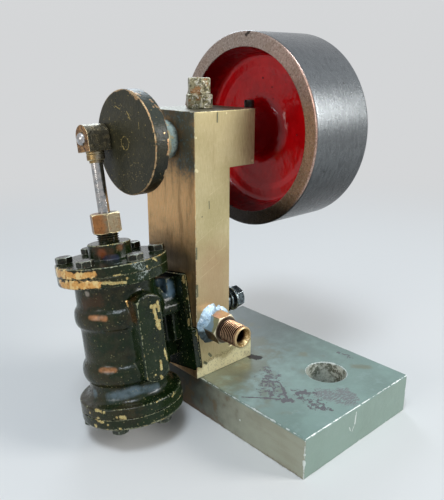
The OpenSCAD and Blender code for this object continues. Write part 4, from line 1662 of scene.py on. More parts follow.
@dataclass(frozen=True)
class GlandBrass:
    """Turned brass of the gland nut and the rod's collar, orange on one side and grey-beige on the
    other, a painted reflection.
    """

    name: str = "gland_brass"
    warm: str = "7f5633"
    cool: str = "6a624f"

    def made(self) -> Material:
        """Makes the material.

        Returns:
            The material.
        """
        s = Surface(self.name)
        p = s.place(CYLINDER)
        x, y, _ = p.parts()
        patch, fine, hair = s.grains(p, 1.4, 0.45, 0.2)
        # Painted reflection: orange on one side, grey-beige on the other.
        side = (x * 0.6 - y * 0.4 + patch.swing(3.0)).rising(-0.6, 0.6)
        worn = (s.wear() + fine.swing(1.6)).rising(0.6, 0.9)
        colour = s.layered(
            self.warm,
            (side, self.cool), (patch.rising(0.5, 0.64, 0.5), "6d4a2a"),
            (fine.rising(0.56, 0.66, 0.6), "4a3320"), (hair.rising(0.58, 0.68, 0.5), "2c2117"),
            (worn * 0.8, "ecdcae"),
        )
        height = s.grain(p, 0.3, 2, stretch=(0.5, 0.5, 4)).swing(0.03) + fine.swing(0.06)
        return s.finish(colour, 0.24 + patch * 0.2, 0.85, height)


@dataclass(frozen=True)
class BigEndBronze:
    """Oiled bronze of the big end, bright where it rubs."""

    half: float = 3.3

    def made(self) -> Material:
        """Makes the material.

        Returns:
            The material.
        """
        s = Surface("big_end_bronze")
        p = s.place(CYLINDER)
        x, _, _ = p.parts()
        patch, fine = s.grains(p, 1.3, 0.45)
        end = (-x - self.half + 0.12).rising(0.0, 0.1)
        face = s.layered(
            "a87d4e",
            (patch.rising(0.44, 0.58), "6f4d2e"), (fine.rising(0.52, 0.62, 0.8), "2c2016"),
        )
        worn = (s.wear() + fine.swing(1.6)).rising(0.72, 0.98)
        colour = s.layered(
            "716c5c",
            (patch.rising(0.44, 0.62), "968a6e"), (fine.rising(0.56, 0.66, 0.6), "322c22"),
            (end, face), (worn * 0.75, "c6b18e"),
        )
        height = patch.swing(0.1) + fine.swing(0.08)
        return s.finish(colour, 0.16 + patch * 0.2, 0.8, height)


# ---- Sub-assemblies ----


@dataclass
class BasePlate:
    """The flat plate that the engine stands on."""

    width: float = 46.7
    length: float = 70.2
    thickness: float = 12.0
    hole: Point = (6.85, -17.8, 6.0)

    def build(self) -> None:
        """Makes and dresses the plate."""
        x, y = self.width / 2, self.length / 2
        shape = slab([(-x, -y), (x, -y), (x, y), (-x, y)], self.thickness, corner=0.3, rim=0.3,
                     reach=0.4, hole=self.hole)
        put(as_mesh(shape), "painted_plate", Body.STAND, BasePaint().made(),
            "base_plate")


@dataclass
class Standard:
    """The brass standard with its bearing head and its foot."""

    depth: float = 22.0
    bearing_r: float = 3.225
    pivot_r: float = 1.85
    drill: tuple[float, float] = (-40, 5)

    def build(self) -> None:
        """Makes and dresses the standard."""
        plan = PLAN
        outline = [
            (plan.side_x, plan.base_top), (plan.head_x, plan.base_top),
            (plan.head_x, plan.foot_top), (plan.column_x, plan.foot_top),
            (plan.column_x, plan.head_low), (plan.head_x, plan.head_low),
            (plan.head_x, plan.std_top), (plan.side_x, plan.std_top),
        ]
        shape = slab(outline, self.depth, corner=0.14, rim=0.14, reach=0.3)
        finish = StandardBrass().made()
        piece = linked("bar", as_mesh(shape, Axes((0.0, plan.back_y, 0.0), math.pi / 2)))
        piece.data.materials.append(finish)
        for radius, axes in ((self.bearing_r, SHAFT), (self.pivot_r, PORT.laid())):
            bore = turned([(radius, end) for end in self.drill], 0.0, sides=48)
            tool = linked("bore", as_mesh(bore, axes))
            cut = piece.modifiers.new("bore", "BOOLEAN")
            cut.operation, cut.object, cut.solver = "DIFFERENCE", tool, "EXACT"
            bored = applied(piece)
            piece.modifiers.clear()
            piece.data = bored
            bpy.data.objects.remove(tool)
        mesh = piece.data
        bpy.data.objects.remove(piece)
        mesh.set_sharp_from_angle(angle=SHARP)
        put(mesh, "brass_standard", Body.STAND, finish, "standard")


@dataclass
class OilCup:
    """The two stacked hexagons on the bearing head."""

    inset: float = 11.0
    low_across: float = 6.8
    low_height: float = 3.8
    top_across: float = 5.8
    top_height: float = 4.3
    bore: float = 1.7
    pits: float = 0.09

    def build(self) -> None:
        """Makes and dresses both hexagons."""
        finish = MottledBrass().made()
        foot = Axes((PLAN.side_x + self.inset, PLAN.shaft_y, PLAN.std_top))
        low = nut(self.low_across, self.low_height, corner=0.25)
        low = low.roughened(1.1, self.pits, seed=3.0)
        top = nut(self.top_across, self.top_height, corner=0.3, bore=self.bore)
        top = top.roughened(1.2, self.pits, seed=8.0)
        put(as_mesh(low, foot), "oil_cup_lower", Body.STAND, finish,
            "oil_cup_base")
        put(as_mesh(top, foot.moved(z=self.low_height)), "oil_cup_upper", Body.STAND,
            finish, "oil_cup_top")


@dataclass
class Nipple:
    """The threaded steam nipple and the solder at its root, which has a high side and a notch."""

    across: float = 7.9
    hex_length: float = 5.6
    length: float = 12.6
    thread_r: float = 3.175
    thread_depth: float = 0.36
    threads: float = 9.6
    bore: float = 1.7
    seat: float = 2.55
    seat_depth: float = 1.6
    solder_r: float = 5.75
    lift_turn: float = math.radians(140)
    notch_turn: float = math.radians(77)
    notch_width: float = 0.11

    def build(self) -> None:
        """Makes and dresses the nipple and its solder."""
        finish = NippleBronze().made()
        core, tip = self.thread_r - self.thread_depth, self.thread_r - 0.05
        start, end = self.hex_length + 0.1, self.length
        section = [
            (self.bore, 0.2), (core, 0.2), (core, start), (core, end - 1.3), (tip, end - 0.8),
            (tip, end - 0.25), (self.thread_r - 0.35, end), (self.seat, end),
            (self.bore, end - self.seat_depth),
        ]
        stem = turned(section, 0.08, hollow=True, reach=0.2)
        head = nut(self.across, self.hex_length, face=0.98, bore=core - 0.05)
        pitch = (self.length - self.hex_length - 1.0) / self.threads
        mesh = threaded(as_mesh(stem.joined(head), NIPPLE), self.thread_r, pitch, self.threads,
                        finish, NIPPLE.moved(z=start))
        put(mesh, "threaded_nipple", Body.STAND, finish, "steam_nipple")
        put(as_mesh(self.solder(), NIPPLE), "solder_fillet", Body.STAND,
            Solder().made(), "nipple_solder")

    def solder(self) -> Shape:
        """Makes an uneven run of solder on the standard's face, round the hexagon.

        Returns:
            The run.
        """
        sides, steps = 96, 12
        inner = self.across / 2 * 0.94
        rings: list[Ring] = [[] for _ in range(steps + 1)]
        for i in range(sides):
            a = 2 * math.pi * i / sides
            c, s = math.cos(a), math.sin(a)
            lift = max(0.0, math.cos(a - self.lift_turn))
            notch = math.exp(-((a - self.notch_turn) / self.notch_width) ** 2)
            wave = noise.noise(Vector((c * 1.6, s * 1.6, 2.0)))
            small = noise.noise(Vector((c * 5, s * 5, 7.0)))
            edge = self.solder_r + 0.45 * lift + 0.7 * wave + 0.3 * small - 1.2 * notch
            for k, ring in enumerate(rings):
                t = k / steps
                r = inner + (edge - inner) * t
                lump = noise.noise(Vector((r * c, r * s, 4.0)) * 0.8)
                z = (0.8 + 1.7 * lift ** 3 + 0.5 * lump) * (1 - t) ** 0.8
                ring.append((r * c, r * s, max(z, 0.02), 0.0))
        low = [[(x, y, -0.05, 0.0) for x, y, _, _ in ring] for ring in (rings[-1], rings[0])]
        return stacked(rings + low, hollow=True)


@dataclass
class Crank:
    """The crankshaft, its disc and its collar."""

    front_x: float = -38.4
    disc_r: float = 13.4
    disc_t: float = 4.25
    shaft_r: float = 3.175
    shaft_end: float = 32.55
    collar_r: float = 5.3
    collar_end: float = -24.85

    def build(self) -> None:
        """Makes and dresses the three pieces."""
        front, back = self.front_x, self.front_x + self.disc_t
        disc = bar(self.disc_r, front, back, 0.42, sides=144)
        put(as_mesh(disc, SHAFT), "painted_crank_disc", Body.CRANK,
            DiscPaint().made(), "crank_disc")
        shaft = bar(self.shaft_r, front + 1, self.shaft_end, 0.3)
        put(as_mesh(shaft, SHAFT), "turned_crankshaft", Body.CRANK,
            PlainSteel("shaft_steel", SHAFT, rough=0.22).made(), "crankshaft")
        section = [
            (self.shaft_r, back), (self.collar_r, back, 0.3),
            (self.collar_r, self.collar_end, 0.7), (self.shaft_r, self.collar_end),
        ]
        collar = turned(section, 0.1, hollow=True)
        put(as_mesh(collar, SHAFT), "painted_collar", Body.CRANK,
            CollarPaint().made(), "disc_collar")


@dataclass
class Flywheel:
    """The flywheel with its sunk web, its hub and its set screw."""

    middle: float = 15.1
    half: float = 11.75
    rim_r: float = 28.54
    mouth_r: float = 24.25
    foot_r: float = 22.25
    web: float = 3.2
    sunk: float = 2.5
    sunk_r: float = 17.7
    hub_r: float = 7.2
    hub_half: float = 16.65
    bore: float = 3.175

    def build(self) -> None:
        """Makes and dresses the wheel and its screw."""
        side = [
            (self.bore, self.hub_half, 0.2), (self.hub_r, self.hub_half, 0.4),
            (self.hub_r, self.sunk, 6.0), (self.sunk_r - 1.0, self.sunk, 2.6),
            (self.sunk_r + 1.0, self.web, 2.6), (self.foot_r, self.web, 1.7),
            (self.mouth_r, self.half, 0.2), (self.rim_r, self.half, 0.6),
        ]
        far = [(r, -x, corner) for r, x, corner in reversed(side)]
        section = [(r, x + self.middle, corner) for r, x, corner in side + far]
        wheel = turned(section, 0.3, hollow=True, sides=180)
        put(as_mesh(wheel, SHAFT), "turned_flywheel", Body.CRANK,
            WheelIron().made(), "flywheel")
        dark = PlainSteel("screw_steel", light="3a3330", deep="1e1a18", spot="5a3a28",
                          edge="7d6a5c", rough=0.3, metal=0.8)
        dressed("hub_screw", dark.made())


@dataclass
class Casting:
    """The cylinder's casting, with the soft corners of a painted casting.

    Attributes:
        voxel: Size of a cell when the solid is remeshed.
        fillet_rounds: Steps by which the inner corners are filled.
        smooth_rounds: Steps of the smoothed copy that the worn edges stand out from.
        wear_from: How far out an edge stands where its wear begins.
        wear_span: How much further out it stands where its wear is full.
        lump: Height of the skin's humps.
        lumps: Number of humps in a millimetre.
    """

    voxel: float = 0.31
    fillet_rounds: int = 12
    smooth_rounds: int = 7
    wear_from: float = 0.045
    wear_span: float = 0.09
    lump: float = 0.055
    lumps: float = 0.45

    def build(self) -> None:
        """Makes and dresses the casting."""
        finish = CasePaint(
            "case_paint",
            chips=(
                (0.5, -15.4, 10.4, 1.9, -15.4, 10.2, 0.62),
                (2.7, -15.4, 10.9, 2.7, -15.4, 8.6, 0.5), (1.2, -15.4, 9.6, 1.8, -15.4, 4.6, 0.62),
                (2.1, -15.4, 6.0, 2.2, -15.4, 4.2, 0.75),
                (2.7, -15.4, -1.7, 3.1, -15.4, -4.6, 0.42), (-1.0, -15.4, -7.6, 0.34),
                (1.1, -15.4, -4.6, 1.1, -15.4, -6.8, 0.42), (-13.6, -4.3, -18.0, 0.6),
                (0.6, -15.4, -8.6, 0.9, -15.4, -9.2, 0.5), (-12.6, -6.4, -15.9, 0.5),
                (-13.6, -3.9, -15.7, -13.0, -5.5, -15.8, 0.5), (-14.1, -1.4, -16.8, 0.4),
                (-9.9, -10.2, -17.3, -9.3, -10.7, -17.6, 0.75), (-10.7, -9.3, -17.3, 0.4),
                (4.4, -13.5, -16.2, 5.4, -13.1, -15.7, 0.35), (-1.0, -14.1, -15.5, 0.35),
                (-9.9, -11.1, 18.7, -8.2, -12.5, 18.5, 0.5), (-4.5, -14.2, 18.9, 0.35),
                (-8.2, -12.5, 18.4, -5.0, -14.0, 18.0, 0.42),
            ),
            bright=(
                (-14.9, 1.2, 18.5, -13.6, -6.4, 18.5, 1.2),
                (-13.6, -6.4, 18.5, -10.6, -10.6, 18.4, 1.1),
                (-3.5, -10.9, 12.2, -3.6, -11.1, 11.4, 0.5),
            ),
            scuffs=((-1.4, -14.9, 18.6, 0.6, -14.9, 19.2, 1.2),),
            tinted=(
                # Dust with a painted sky sheen, pale blue-grey, on the bottom flange's top.
                ((-9.6, -5.5, -13.2, -4.6, -9.9, -12.0, 1.5), "5f7078"),
                ((-4.6, -9.9, -12.0, 1.6, -10.9, -13.2, 1.2), "56676f"),
                ((-10.9, 0.3, -12.9, 1.3), "5a6b72"), ((-10.4, -3.3, 15.2, 0.8), "b0a59a"),
                ((-11.4, -4.4, 9.2, -9.0, -8.0, 8.8, 0.8), "b0764a"),
                ((-10.6, -6.0, 9.3, 0.5), "c48b5c"),
                ((-10.9, -4.6, -5.2, -8.6, -8.0, -5.3, 0.75), "b0764a"),
                ((-9.8, -6.6, -5.0, 0.5), "c48b5c"),
                # Painted sky sheen, blue, beside the port plate.
                ((12.3, -4.9, 12.6, 12.9, -6.5, 10.3, 2.2), "6f8a9c"),
            ),
            # Painted shade, brown, under the top flange.
            soot=(
                (-10.9, -1.9, 12.4, -9.0, -6.0, 13.0, 2.6),
                (-2.0, -12.5, 12.0, -3.6, -13.0, 8.0, 2.4),
            ),
            browned=1.0,
        )
        put(self.shape(), "cylinder_casting", Body.ROCKER, finish.made(),
            "cylinder")

    def shape(self) -> Mesh:
        """Remeshes the CAD solid and makes it look cast.

        Returns:
            The casting's mesh, in its place.
        """
        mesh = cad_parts["cylinder"].data.copy()
        place = CYLINDER.metres()
        mesh.transform(place.inverted())
        work = bmesh.new()
        work.from_mesh(mesh)
        bmesh.ops.remove_doubles(work, verts=work.verts, dist=1e-6)
        work.to_mesh(mesh)
        work.free()
        block = linked("block", mesh)
        remesh = block.modifiers.new("remesh", "REMESH")
        remesh.mode, remesh.voxel_size = "VOXEL", self.voxel * MM
        made = applied(block)
        bpy.data.objects.remove(block)
        self.soften(made)
        made.transform(place)
        made.shade_smooth()
        return made

    def soften(self, mesh: Mesh) -> None:
        """Fills the inner corners, rounds the outer ones a little and marks the worn edges.

        Args:
            mesh: The remeshed casting, which is changed.
        """
        count = len(mesh.vertices)
        spots = np.empty(count * 3)
        mesh.vertices.foreach_get("co", spots)
        spots = spots.reshape(-1, 3) / MM
        ends = np.empty(len(mesh.edges) * 2, np.int64)
        mesh.edges.foreach_get("vertices", ends)
        first, second = ends.reshape(-1, 2).T
        degree = np.bincount(np.concatenate((first, second)), minlength=count)[:, None]

        def pull(points: np.ndarray) -> np.ndarray:
            """Works out the step from each point to the middle of its neighbours.

            Args:
                points: The points.

            Returns:
                The steps.
            """
            sums = [
                np.bincount(first, points[second, k], count)
                + np.bincount(second, points[first, k], count)
                for k in range(3)
            ]
            return np.stack(sums, 1) / degree - points

        def outward(points: np.ndarray) -> np.ndarray:
            """Works out the normal at each point.

            Args:
                points: The points, which the mesh takes over.

            Returns:
                The normals.
            """
            mesh.vertices.foreach_set("co", (points * MM).ravel())
            mesh.update()
            normals = np.empty(count * 3)
            mesh.vertex_normals.foreach_get("vector", normals)
            return normals.reshape(-1, 3)

        spots += 0.5 * pull(spots)
        normals = outward(spots)
        for _ in range(self.fillet_rounds):
            lift = np.maximum(0.0, np.einsum("ij,ij->i", pull(spots), normals))
            spots += 0.5 * lift[:, None] * normals
        normals = outward(spots)
        smooth = spots.copy()
        for _ in range(self.smooth_rounds):
            smooth += 0.5 * pull(smooth)
        convex = np.einsum("ij,ij->i", spots - smooth, normals)
        worn = np.clip((convex - self.wear_from) / self.wear_span, 0, 1)
        waves = np.array([noise.noise(Vector(p) * self.lumps) for p in spots.tolist()])
        spots += (self.lump * waves)[:, None] * normals
        mesh.vertices.foreach_set("co", (spots * MM).ravel())
        mark = mesh.attributes.new("wear", "FLOAT", "POINT")
        mark.data.foreach_set("value", worn.astype(np.float32))
        mesh.update()


@dataclass
class Fittings:
    """The port plate, the covers, the gland and the bolts of the cylinder."""

    plate_t: float = 2.2
    plate_w: float = 17.8
    plate_low_w: float = 21.8
    plate_step: float = 1.6
    plate_drop: float = 12.8
    cover_r: float = 15.0
    cover_t: float = 2.6
    spigot_r: float = 7.4
    spigot_h: float = 2.5
    boss_r: float = 5.85
    boss_h: float = 4.2
    neck_r: float = 3.0
    neck_h: float = 2.5
    neck_turns: float = 4.2
    gland_across: float = 7.4
    gland_h: float = 5.4
    gland_turn: float = math.radians(8)
    gland_top: float = 34.65
    gland_bore: float = 1.66
    bolt_across: float = 4.1
    bolt_h: float = 1.8
    bolt_inset: float = 2.55
    low_r: float = 14.2
    low_cover_top: float = -18.3
    low_cover_t: float = 3.1
    low_bolt_h: float = 1.3
    flange_top_gap: float = 2.95
    flange_t: float = 2.8

    def build(self) -> None:
        """Makes and dresses all of them."""
        gland_s = self.gland_top - self.gland_h
        boss_top = gland_s - self.neck_h
        cover_top = boss_top - self.boss_h
        cover_s = cover_top - self.cover_t
        self.port_plate(cover_s - self.flange_t - self.flange_top_gap)
        self.top_cover(cover_s, cover_top, boss_top, gland_s)
        self.gland(gland_s)
        steel = PlainSteel("bolt_steel", CYLINDER, light="30342a", deep="1c1f18", spot="5c3f2b",
                           edge="9fa392", rough=0.22, metal=0.6, spotted=0.8, worn=0.7)
        self.bolts("cover", cover_top, self.bolt_h, self.cover_r, 28.5, 4, steel)
        self.bottom_cover()
        steel = PlainSteel("low_bolt_steel", CYLINDER, light="3a4236", deep="20241f",
                           spot="6a6a58", edge="8f9284", rough=0.34, metal=0.6, spotted=0.6)
        low = self.low_cover_top - self.low_cover_t - self.low_bolt_h
        self.bolts("bottom", low, self.low_bolt_h, self.low_r, 39, 7, steel)

    def port_plate(self, top: float) -> None:
        """Makes and dresses the plate that rubs on the standard.

        Args:
            top: Height of its upper edge.
        """
        wide, low, step = self.plate_w / 2, self.plate_low_w / 2, self.plate_step
        half = [(-self.plate_drop, low), (-step, low), (-step, wide), (top, wide)]
        outline = [(-s, y) for s, y in half] + [(-s, -y) for s, y in reversed(half)]
        shape = slab(outline[::-1], self.plate_t - 0.05, corner=0.3, rim=0.22)
        finish = CasePaint(
            "plate_paint",
            chips=(
                (16.6, -8.9, 14.0, 16.7, -8.9, 12.2, 0.45), (16.9, -8.9, 7.4, 0.3),
                (16.5, -8.9, -0.2, 16.6, -8.9, 1.2, 0.5), (17.0, -10.9, -3.2, 0.4),
            ),
            bias=0.35, speckle=0.9, browned=0.1,
        )
        put(as_mesh(shape, PORT.moved(x=-self.plate_t).laid()), "painted_port_plate",
            Body.ROCKER, finish.made(), "port_plate")

    def top_cover(self, seat: float, top: float, boss_top: float, gland_s: float) -> None:
        """Makes and dresses the cover with its boss and the threaded neck under the gland nut.

        Args:
            seat: Height of the cover's underside.
            top: Height of its upper face.
            boss_top: Height of the boss's upper face.
            gland_s: Height of the gland nut's underside.
        """
        core, start, end = self.neck_r - 0.3, seat - self.spigot_h, gland_s + 0.2
        section = [
            (AXIS, start), (self.spigot_r, start), (self.spigot_r, seat),
            (self.cover_r, seat, 0.2), (self.cover_r, top, 0.35), (self.boss_r, top, 0.4),
            (self.boss_r, boss_top, 0.35), (core, boss_top, 0.1), (core, end), (AXIS, end),
        ]
        finish = CasePaint(
            "cover_paint",
            chips=(
                (-7.4, -13.0, 20.2, -6.0, -13.6, 20.2, 0.3), (1.3, -14.9, 20.7, 0.35),
                (3.8, -14.4, 22.3, 5.0, -14.0, 21.4, 0.4), (-2.3, -4.9, 26.7, 0.4),
                (0.6, -5.2, 26.7, 0.4),
            ),
            bright=(
                (-15.0, 3.6, 21.2, -14.2, -4.4, 21.2, 1.3),
                (-14.2, -4.4, 21.1, -13.0, -7.4, 20.8, 0.9),
                (-13.0, -7.4, 21.0, -11.2, -9.9, 21.2, 0.9),
            ),
            scuffs=(
                (-2.1, -14.8, 22.2, 0.4, -14.9, 20.4, 1.3),
                (-5.0, -11.0, 22.6, 3.0, -11.5, 22.6, 1.0),
            ),
            # Painted shade, brown, on the neck under the gland nut; brown patches on the boss's
            # side.
            soot=(
                (-5.2, -2.7, 25.4, -3.0, -4.6, 24.0, 2.6), (0.0, -5.8, 26.0, 1.6),
                (0.0, 0.0, 30.0, 0.0, 0.0, 27.4, 4.0),
            ),
            tinted=(
                # A painted blue-grey sheen on the boss; brown stains beside it.
                ((-4.2, -4.2, 23.3, -1.6, -5.7, 23.1, 0.9), "33384c"),
                ((-4.6, -3.6, 24.7, 1.3), "84492a"), ((-0.4, -5.8, 25.4, 1.0), "77502f"),
            ),
            speckle=0.3,
        ).made()
        pitch = (self.neck_h - 0.1) / self.neck_turns
        mesh = threaded(as_mesh(turned(section, 0.15, sides=144), CYLINDER), self.neck_r, pitch,
                        self.neck_turns, finish, CYLINDER.moved(z=boss_top + 0.1))
        put(mesh, "top_cover_and_boss", Body.ROCKER, finish, "top_cover")

    def gland(self, low: float) -> None:
        """Makes and dresses the gland nut round the piston rod.

        Args:
            low: Height of its underside.
        """
        shape = nut(self.gland_across, self.gland_h, face=0.97, corner=0.1,
                    bore=self.gland_bore, spin=self.gland_turn)
        put(as_mesh(shape, CYLINDER.moved(z=low)), "brass_gland_nut", Body.ROCKER,
            GlandBrass().made(), "gland_nut")

    def bolts(self, cover: str, low: float, height: float, reach: float, turn: float, seed: int,
              steel: PlainSteel) -> None:
        """Makes and dresses the six bolt heads of a cover.

        Args:
            cover: The cover's name.
            low: Height of the heads' undersides.
            height: Height of a head.
            reach: Radius of the cover.
            turn: Place of the first head, in degrees.
            seed: Seed of their turns.
            steel: Finish.
        """
        finish = steel.made()
        head = nut(self.bolt_across, height + 0.02, face=0.93, corner=0.16,
                   spin=math.radians(30))
        mesh = bolt_circle(head, reach - self.bolt_inset, math.radians(turn), seed, finish,
                           CYLINDER.moved(z=low))
        put(mesh, f"{cover}_bolt_heads", Body.ROCKER, finish, f"{cover}_bolts")

    def bottom_cover(self) -> None:
        """Makes and dresses the bottom cover."""
        top, low = self.low_cover_top, self.low_cover_top - self.low_cover_t
        end = top + self.spigot_h
        section = [
            (AXIS, low), (self.low_r, low, 0.95), (self.low_r, top, 0.12), (self.spigot_r, top),
            (self.spigot_r, end), (AXIS, end),
        ]
        finish = CasePaint(
            "bottom_paint",
            chips=(
                (-13.5, -4.2, -18.6, -13.0, -5.6, -18.8, 0.6), (-13.9, -3.0, -20.2, 0.7),
                (-12.4, -7.0, -19.4, 0.35), (-10.4, -9.6, -20.6, 0.5),
            ),
        )
        put(as_mesh(turned(section, 0.12, sides=144), CYLINDER), "painted_bottom_cover",
            Body.ROCKER, finish.made(), "bottom_cover")


@dataclass
class PivotSet:
    """The pivot bolt with its spring, washer and nut behind the column."""

    bolt_r: float = 1.8
    plate_t: float = 2.2
    column: float = 12.5
    spring_l: float = 10.5
    spring_r: float = 3.7
    wire: float = 0.45
    turns: float = 6.0
    washer_t: float = 0.7
    washer_r: tuple[float, float] = (1.9, 3.9)
    nut_h: float = 3.0
    nut_across: float = 6.4
    tail: float = 0.8

    def build(self) -> None:
        """Makes and dresses the four pieces."""
        axes = PORT.laid()
        dark = PlainSteel("pivot_steel", PORT, light="6c787c", deep="2c3234", spot="3a2e24",
                          edge="d3dde1", rough=0.2, metal=0.9, spotted=0.4, worn=0.8).made()
        seat = self.column + self.spring_l
        high = seat + self.washer_t
        bolt = bar(self.bolt_r, 0.1 - self.plate_t, high + self.nut_h + self.tail, 0.3, sides=48)
        spring = coil(self.spring_r - self.wire, self.spring_l - 2 * self.wire, self.turns,
                      self.wire, 12, 0.0, dark, axes.moved(z=self.column + self.wire))
        inner, outer = self.washer_r
        washer = turned([(inner, seat), (outer, seat), (outer, high), (inner, high)], 0.15,
                        hollow=True, reach=0.2)
        hexagon = nut(self.nut_across, self.nut_h, bore=self.bolt_r + 0.02)
        for mesh, name, node in (
            (as_mesh(bolt, axes), "pivot_bolt_shank", "pivot_bolt"),
            (spring, "wound_spring", "pivot_spring"),
            (as_mesh(washer, axes), "spring_washer", "pivot_washer"),
            (as_mesh(hexagon, axes.moved(z=high)), "pivot_hexagon_nut", "pivot_nut"),
        ):
            put(mesh, name, Body.ROCKER, dark, node)


@dataclass
class Rod:
    """The piston rod with its collar, the big end and the crank pin."""

    rod_r: float = 1.6
    collar_r: float = 2.4
    collar_h: float = 2.3
    big_w: float = 6.3
    big_l: float = 6.6
    big_drop: float = 3.45
    big_rise: float = 0.5
    pin_r: float = 1.7
    dome: float = 1.3

    def build(self) -> None:
        """Makes and dresses the moving pieces."""
        big_s = PLAN.pin_s - self.big_drop
        low = big_s - self.collar_h
        steel = PlainSteel("rod_steel", CYLINDER, light="b6b2af", deep="979a9c", spot="6c5a50",
                           rough=0.06, spotted=0.3)
        start = (CYLINDER.matrix().inverted() @ (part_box("piston_rod")[0] / MM)).z
        rod = bar(self.rod_r, start, low + 0.1, 0.1, sides=64)
        put(as_mesh(rod, CYLINDER), "polished_piston_rod", Body.ROD,
            steel.made(), "piston_rod")
        brass = GlandBrass("collar_brass", "90774e", "989180").made()
        dressed("piston", brass)
        neck, wide, end = self.rod_r + 0.28, self.collar_r, big_s - 0.02
        section = [
            (AXIS, low - 0.7), (neck, low - 0.7), (neck, low), (wide, low, 0.4),
            (wide, low + 1.5, 0.15), (wide - 0.16, low + 1.65), (wide, low + 1.8, 0.1),
            (wide, end, 0.1), (AXIS, end),
        ]
        collar = turned(section, 0.1, sides=64, reach=0.25)
        put(as_mesh(collar, CYLINDER), "brass_rod_collar", Body.ROD, brass,
            "rod_collar")
        self.big_end()
        self.pin()

    def big_end(self) -> None:
        """Makes and dresses the block that the crank pin turns in."""
        half = self.big_w / 2
        arch = [
            (-self.big_rise - half * math.sin(a), half * math.cos(a))
            for a in [math.pi * k / 16 for k in range(17)]
        ]
        outline = [(self.big_drop, half)] + arch + [(self.big_drop, -half)]
        shape = slab(outline, self.big_l, corner=0.2, rim=0.2, reach=0.15,
                     hole=(0.0, 0.0, self.pin_r + 0.02))
        axes = CYLINDER.moved(x=-self.big_l / 2, z=PLAN.pin_s).laid()
        put(as_mesh(shape, axes), "bronze_big_end", Body.ROD,
            BigEndBronze().made(), "big_end")

    def pin(self) -> None:
        """Makes and dresses the crank pin with its domed end."""
        steel = PlainSteel("pin_steel", CYLINDER, light="cfcfd2", deep="a3a09f", spot="5c4a3c",
                           rough=0.16, spotted=0.3)
        turns = [math.pi / 2 * k / 8 for k in range(8)]
        cap = [(self.pin_r * math.cos(a), self.dome * (1 - math.sin(a))) for a in turns]
        end = self.dome + self.big_l
        section = [(2 * AXIS, 0.0)] + cap[::-1] + [(self.pin_r, end), (AXIS, end)]
        axes = CYLINDER.moved(x=-self.big_l / 2 - self.dome, z=PLAN.pin_s).laid()
        put(as_mesh(turned(section, 0.0, sides=48), axes), "domed_crank_pin", Body.ROD,
            steel.made(), "crank_pin")


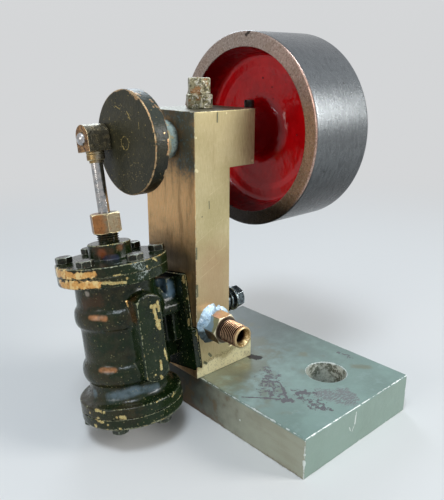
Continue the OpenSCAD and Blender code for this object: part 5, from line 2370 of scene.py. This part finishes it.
@dataclass
class Studio:
    """The camera, the lamps and the plain pale floor."""

    eye: Point = (-0.120045, -0.110871, 0.099394)
    right: Point = (0.740438, -0.672115, 0.002045)
    up: Point = (0.20259, 0.226085, 0.952808)
    lens: float = 41.65
    sensor: float = 36.0
    aim: Point = (0.0, 0.0, 0.05)
    horizon: Colour = (0.66, 0.67, 0.68, 1.0)
    zenith: Colour = (0.92, 0.95, 1.0, 1.0)
    sky: Colour = (0.88, 0.94, 1.0, 1.0)
    ground: Colour = (0.78, 0.78, 0.77, 1.0)
    reach: float = 3000.0

    def build(self) -> None:
        """Makes all of it."""
        self.camera()
        self.lamp("key", (0.40, -0.52, 0.30), 0.26, 3.2, (1.0, 0.99, 0.97))
        self.lamp("sky", (-0.24, -0.14, 0.66), 0.19, 2.0, (0.80, 0.90, 1.0))
        self.lamp("side", (-0.66, -0.02, 0.22), 0.26, 1.1, (1.0, 0.97, 0.93))
        self.lamp("back", (0.34, 0.50, 0.40), 0.24, 1.0, (0.80, 0.90, 1.0))
        self.room()
        self.floor()
        bpy.context.scene.view_settings.view_transform = "Standard"

    def camera(self) -> None:
        """Puts a camera where the photograph was taken from."""
        data = bpy.data.cameras.new("view")
        data.lens, data.sensor_width, data.sensor_fit = self.lens, self.sensor, "AUTO"
        data.clip_start, data.clip_end = 0.005, 20.0
        right, up = Vector(self.right).normalized(), Vector(self.up).normalized()
        back = right.cross(up).normalized()
        turn = Matrix((right, up, back)).transposed().to_4x4()
        eye = linked("view", data)
        eye.matrix_world = Matrix.Translation(self.eye) @ turn
        bpy.context.scene.camera = eye

    def lamp(self, name: str, spot: Point, size: float, power: float, colour: Point) -> None:
        """Puts up one square soft lamp that points at the engine.

        Args:
            name: The lamp's name.
            spot: Its place, in metres.
            size: Its side, in metres.
            power: Its power, in watts.
            colour: Its colour.
        """
        data = bpy.data.lights.new(name, "AREA")
        data.shape, data.size, data.energy, data.color = "SQUARE", size, power, colour
        lamp = linked(name, data)
        lamp.location = spot
        way = Vector(self.aim) - Vector(spot)
        lamp.rotation_euler = way.to_track_quat("-Z", "Y").to_euler()

    def room(self) -> None:
        """Makes the soft light from all round, and the backdrop that is seen."""
        world = bpy.data.worlds.new("room")
        bpy.context.scene.world = world
        world.use_nodes = True
        tree = Tree(world.node_tree)
        way = Place(tree, tree.node("ShaderNodeTexCoord").outputs["Generated"]).parts()
        shade = tree.mix(way[2].rising(0.02, 0.9), self.horizon, self.zenith)
        light = tree.node("ShaderNodeBackground", {"Color": self.sky, "Strength": 0.3})
        shown = tree.node("ShaderNodeBackground", {"Color": shade, "Strength": 1.0})
        both = tree.node("ShaderNodeMixShader",
                         {0: tree.seen(), 1: light.outputs[0], 2: shown.outputs[0]})
        tree.node("ShaderNodeOutputWorld", {"Surface": both.outputs[0]})

    def floor(self) -> None:
        """Makes a wide pale floor that fades into the backdrop."""
        mesh = as_mesh(bar(self.reach, -1.0, 0.0, 0.0, sides=64))
        s = Surface("pale_floor")
        fade = s.place().away().rising(140.0, 420.0) * s.seen()
        matt = s.node("ShaderNodeBsdfDiffuse", {"Color": self.ground})
        glow = s.node("ShaderNodeEmission", {"Color": self.horizon, "Strength": 1.0})
        both = s.node("ShaderNodeMixShader", {0: fade, 1: matt.outputs[0], 2: glow.outputs[0]})
        s.node("ShaderNodeOutputMaterial", {"Surface": both.outputs[0]})
        mesh.materials.append(s.material)
        linked("floor", mesh)


def main() -> None:
    """Builds the engine's pieces and the studio, in order."""
    logging.basicConfig(level=logging.INFO, format="%(name)s: %(message)s")
    Studio().build()
    for part in (BasePlate(), Standard(), OilCup(), Nipple(), Crank(), Flywheel(), Casting(),
                 Fittings(), PivotSet(), Rod()):
        LOG.info("building %s", type(part).__name__)
        part.build()


if __name__ == "__main__":
    main()
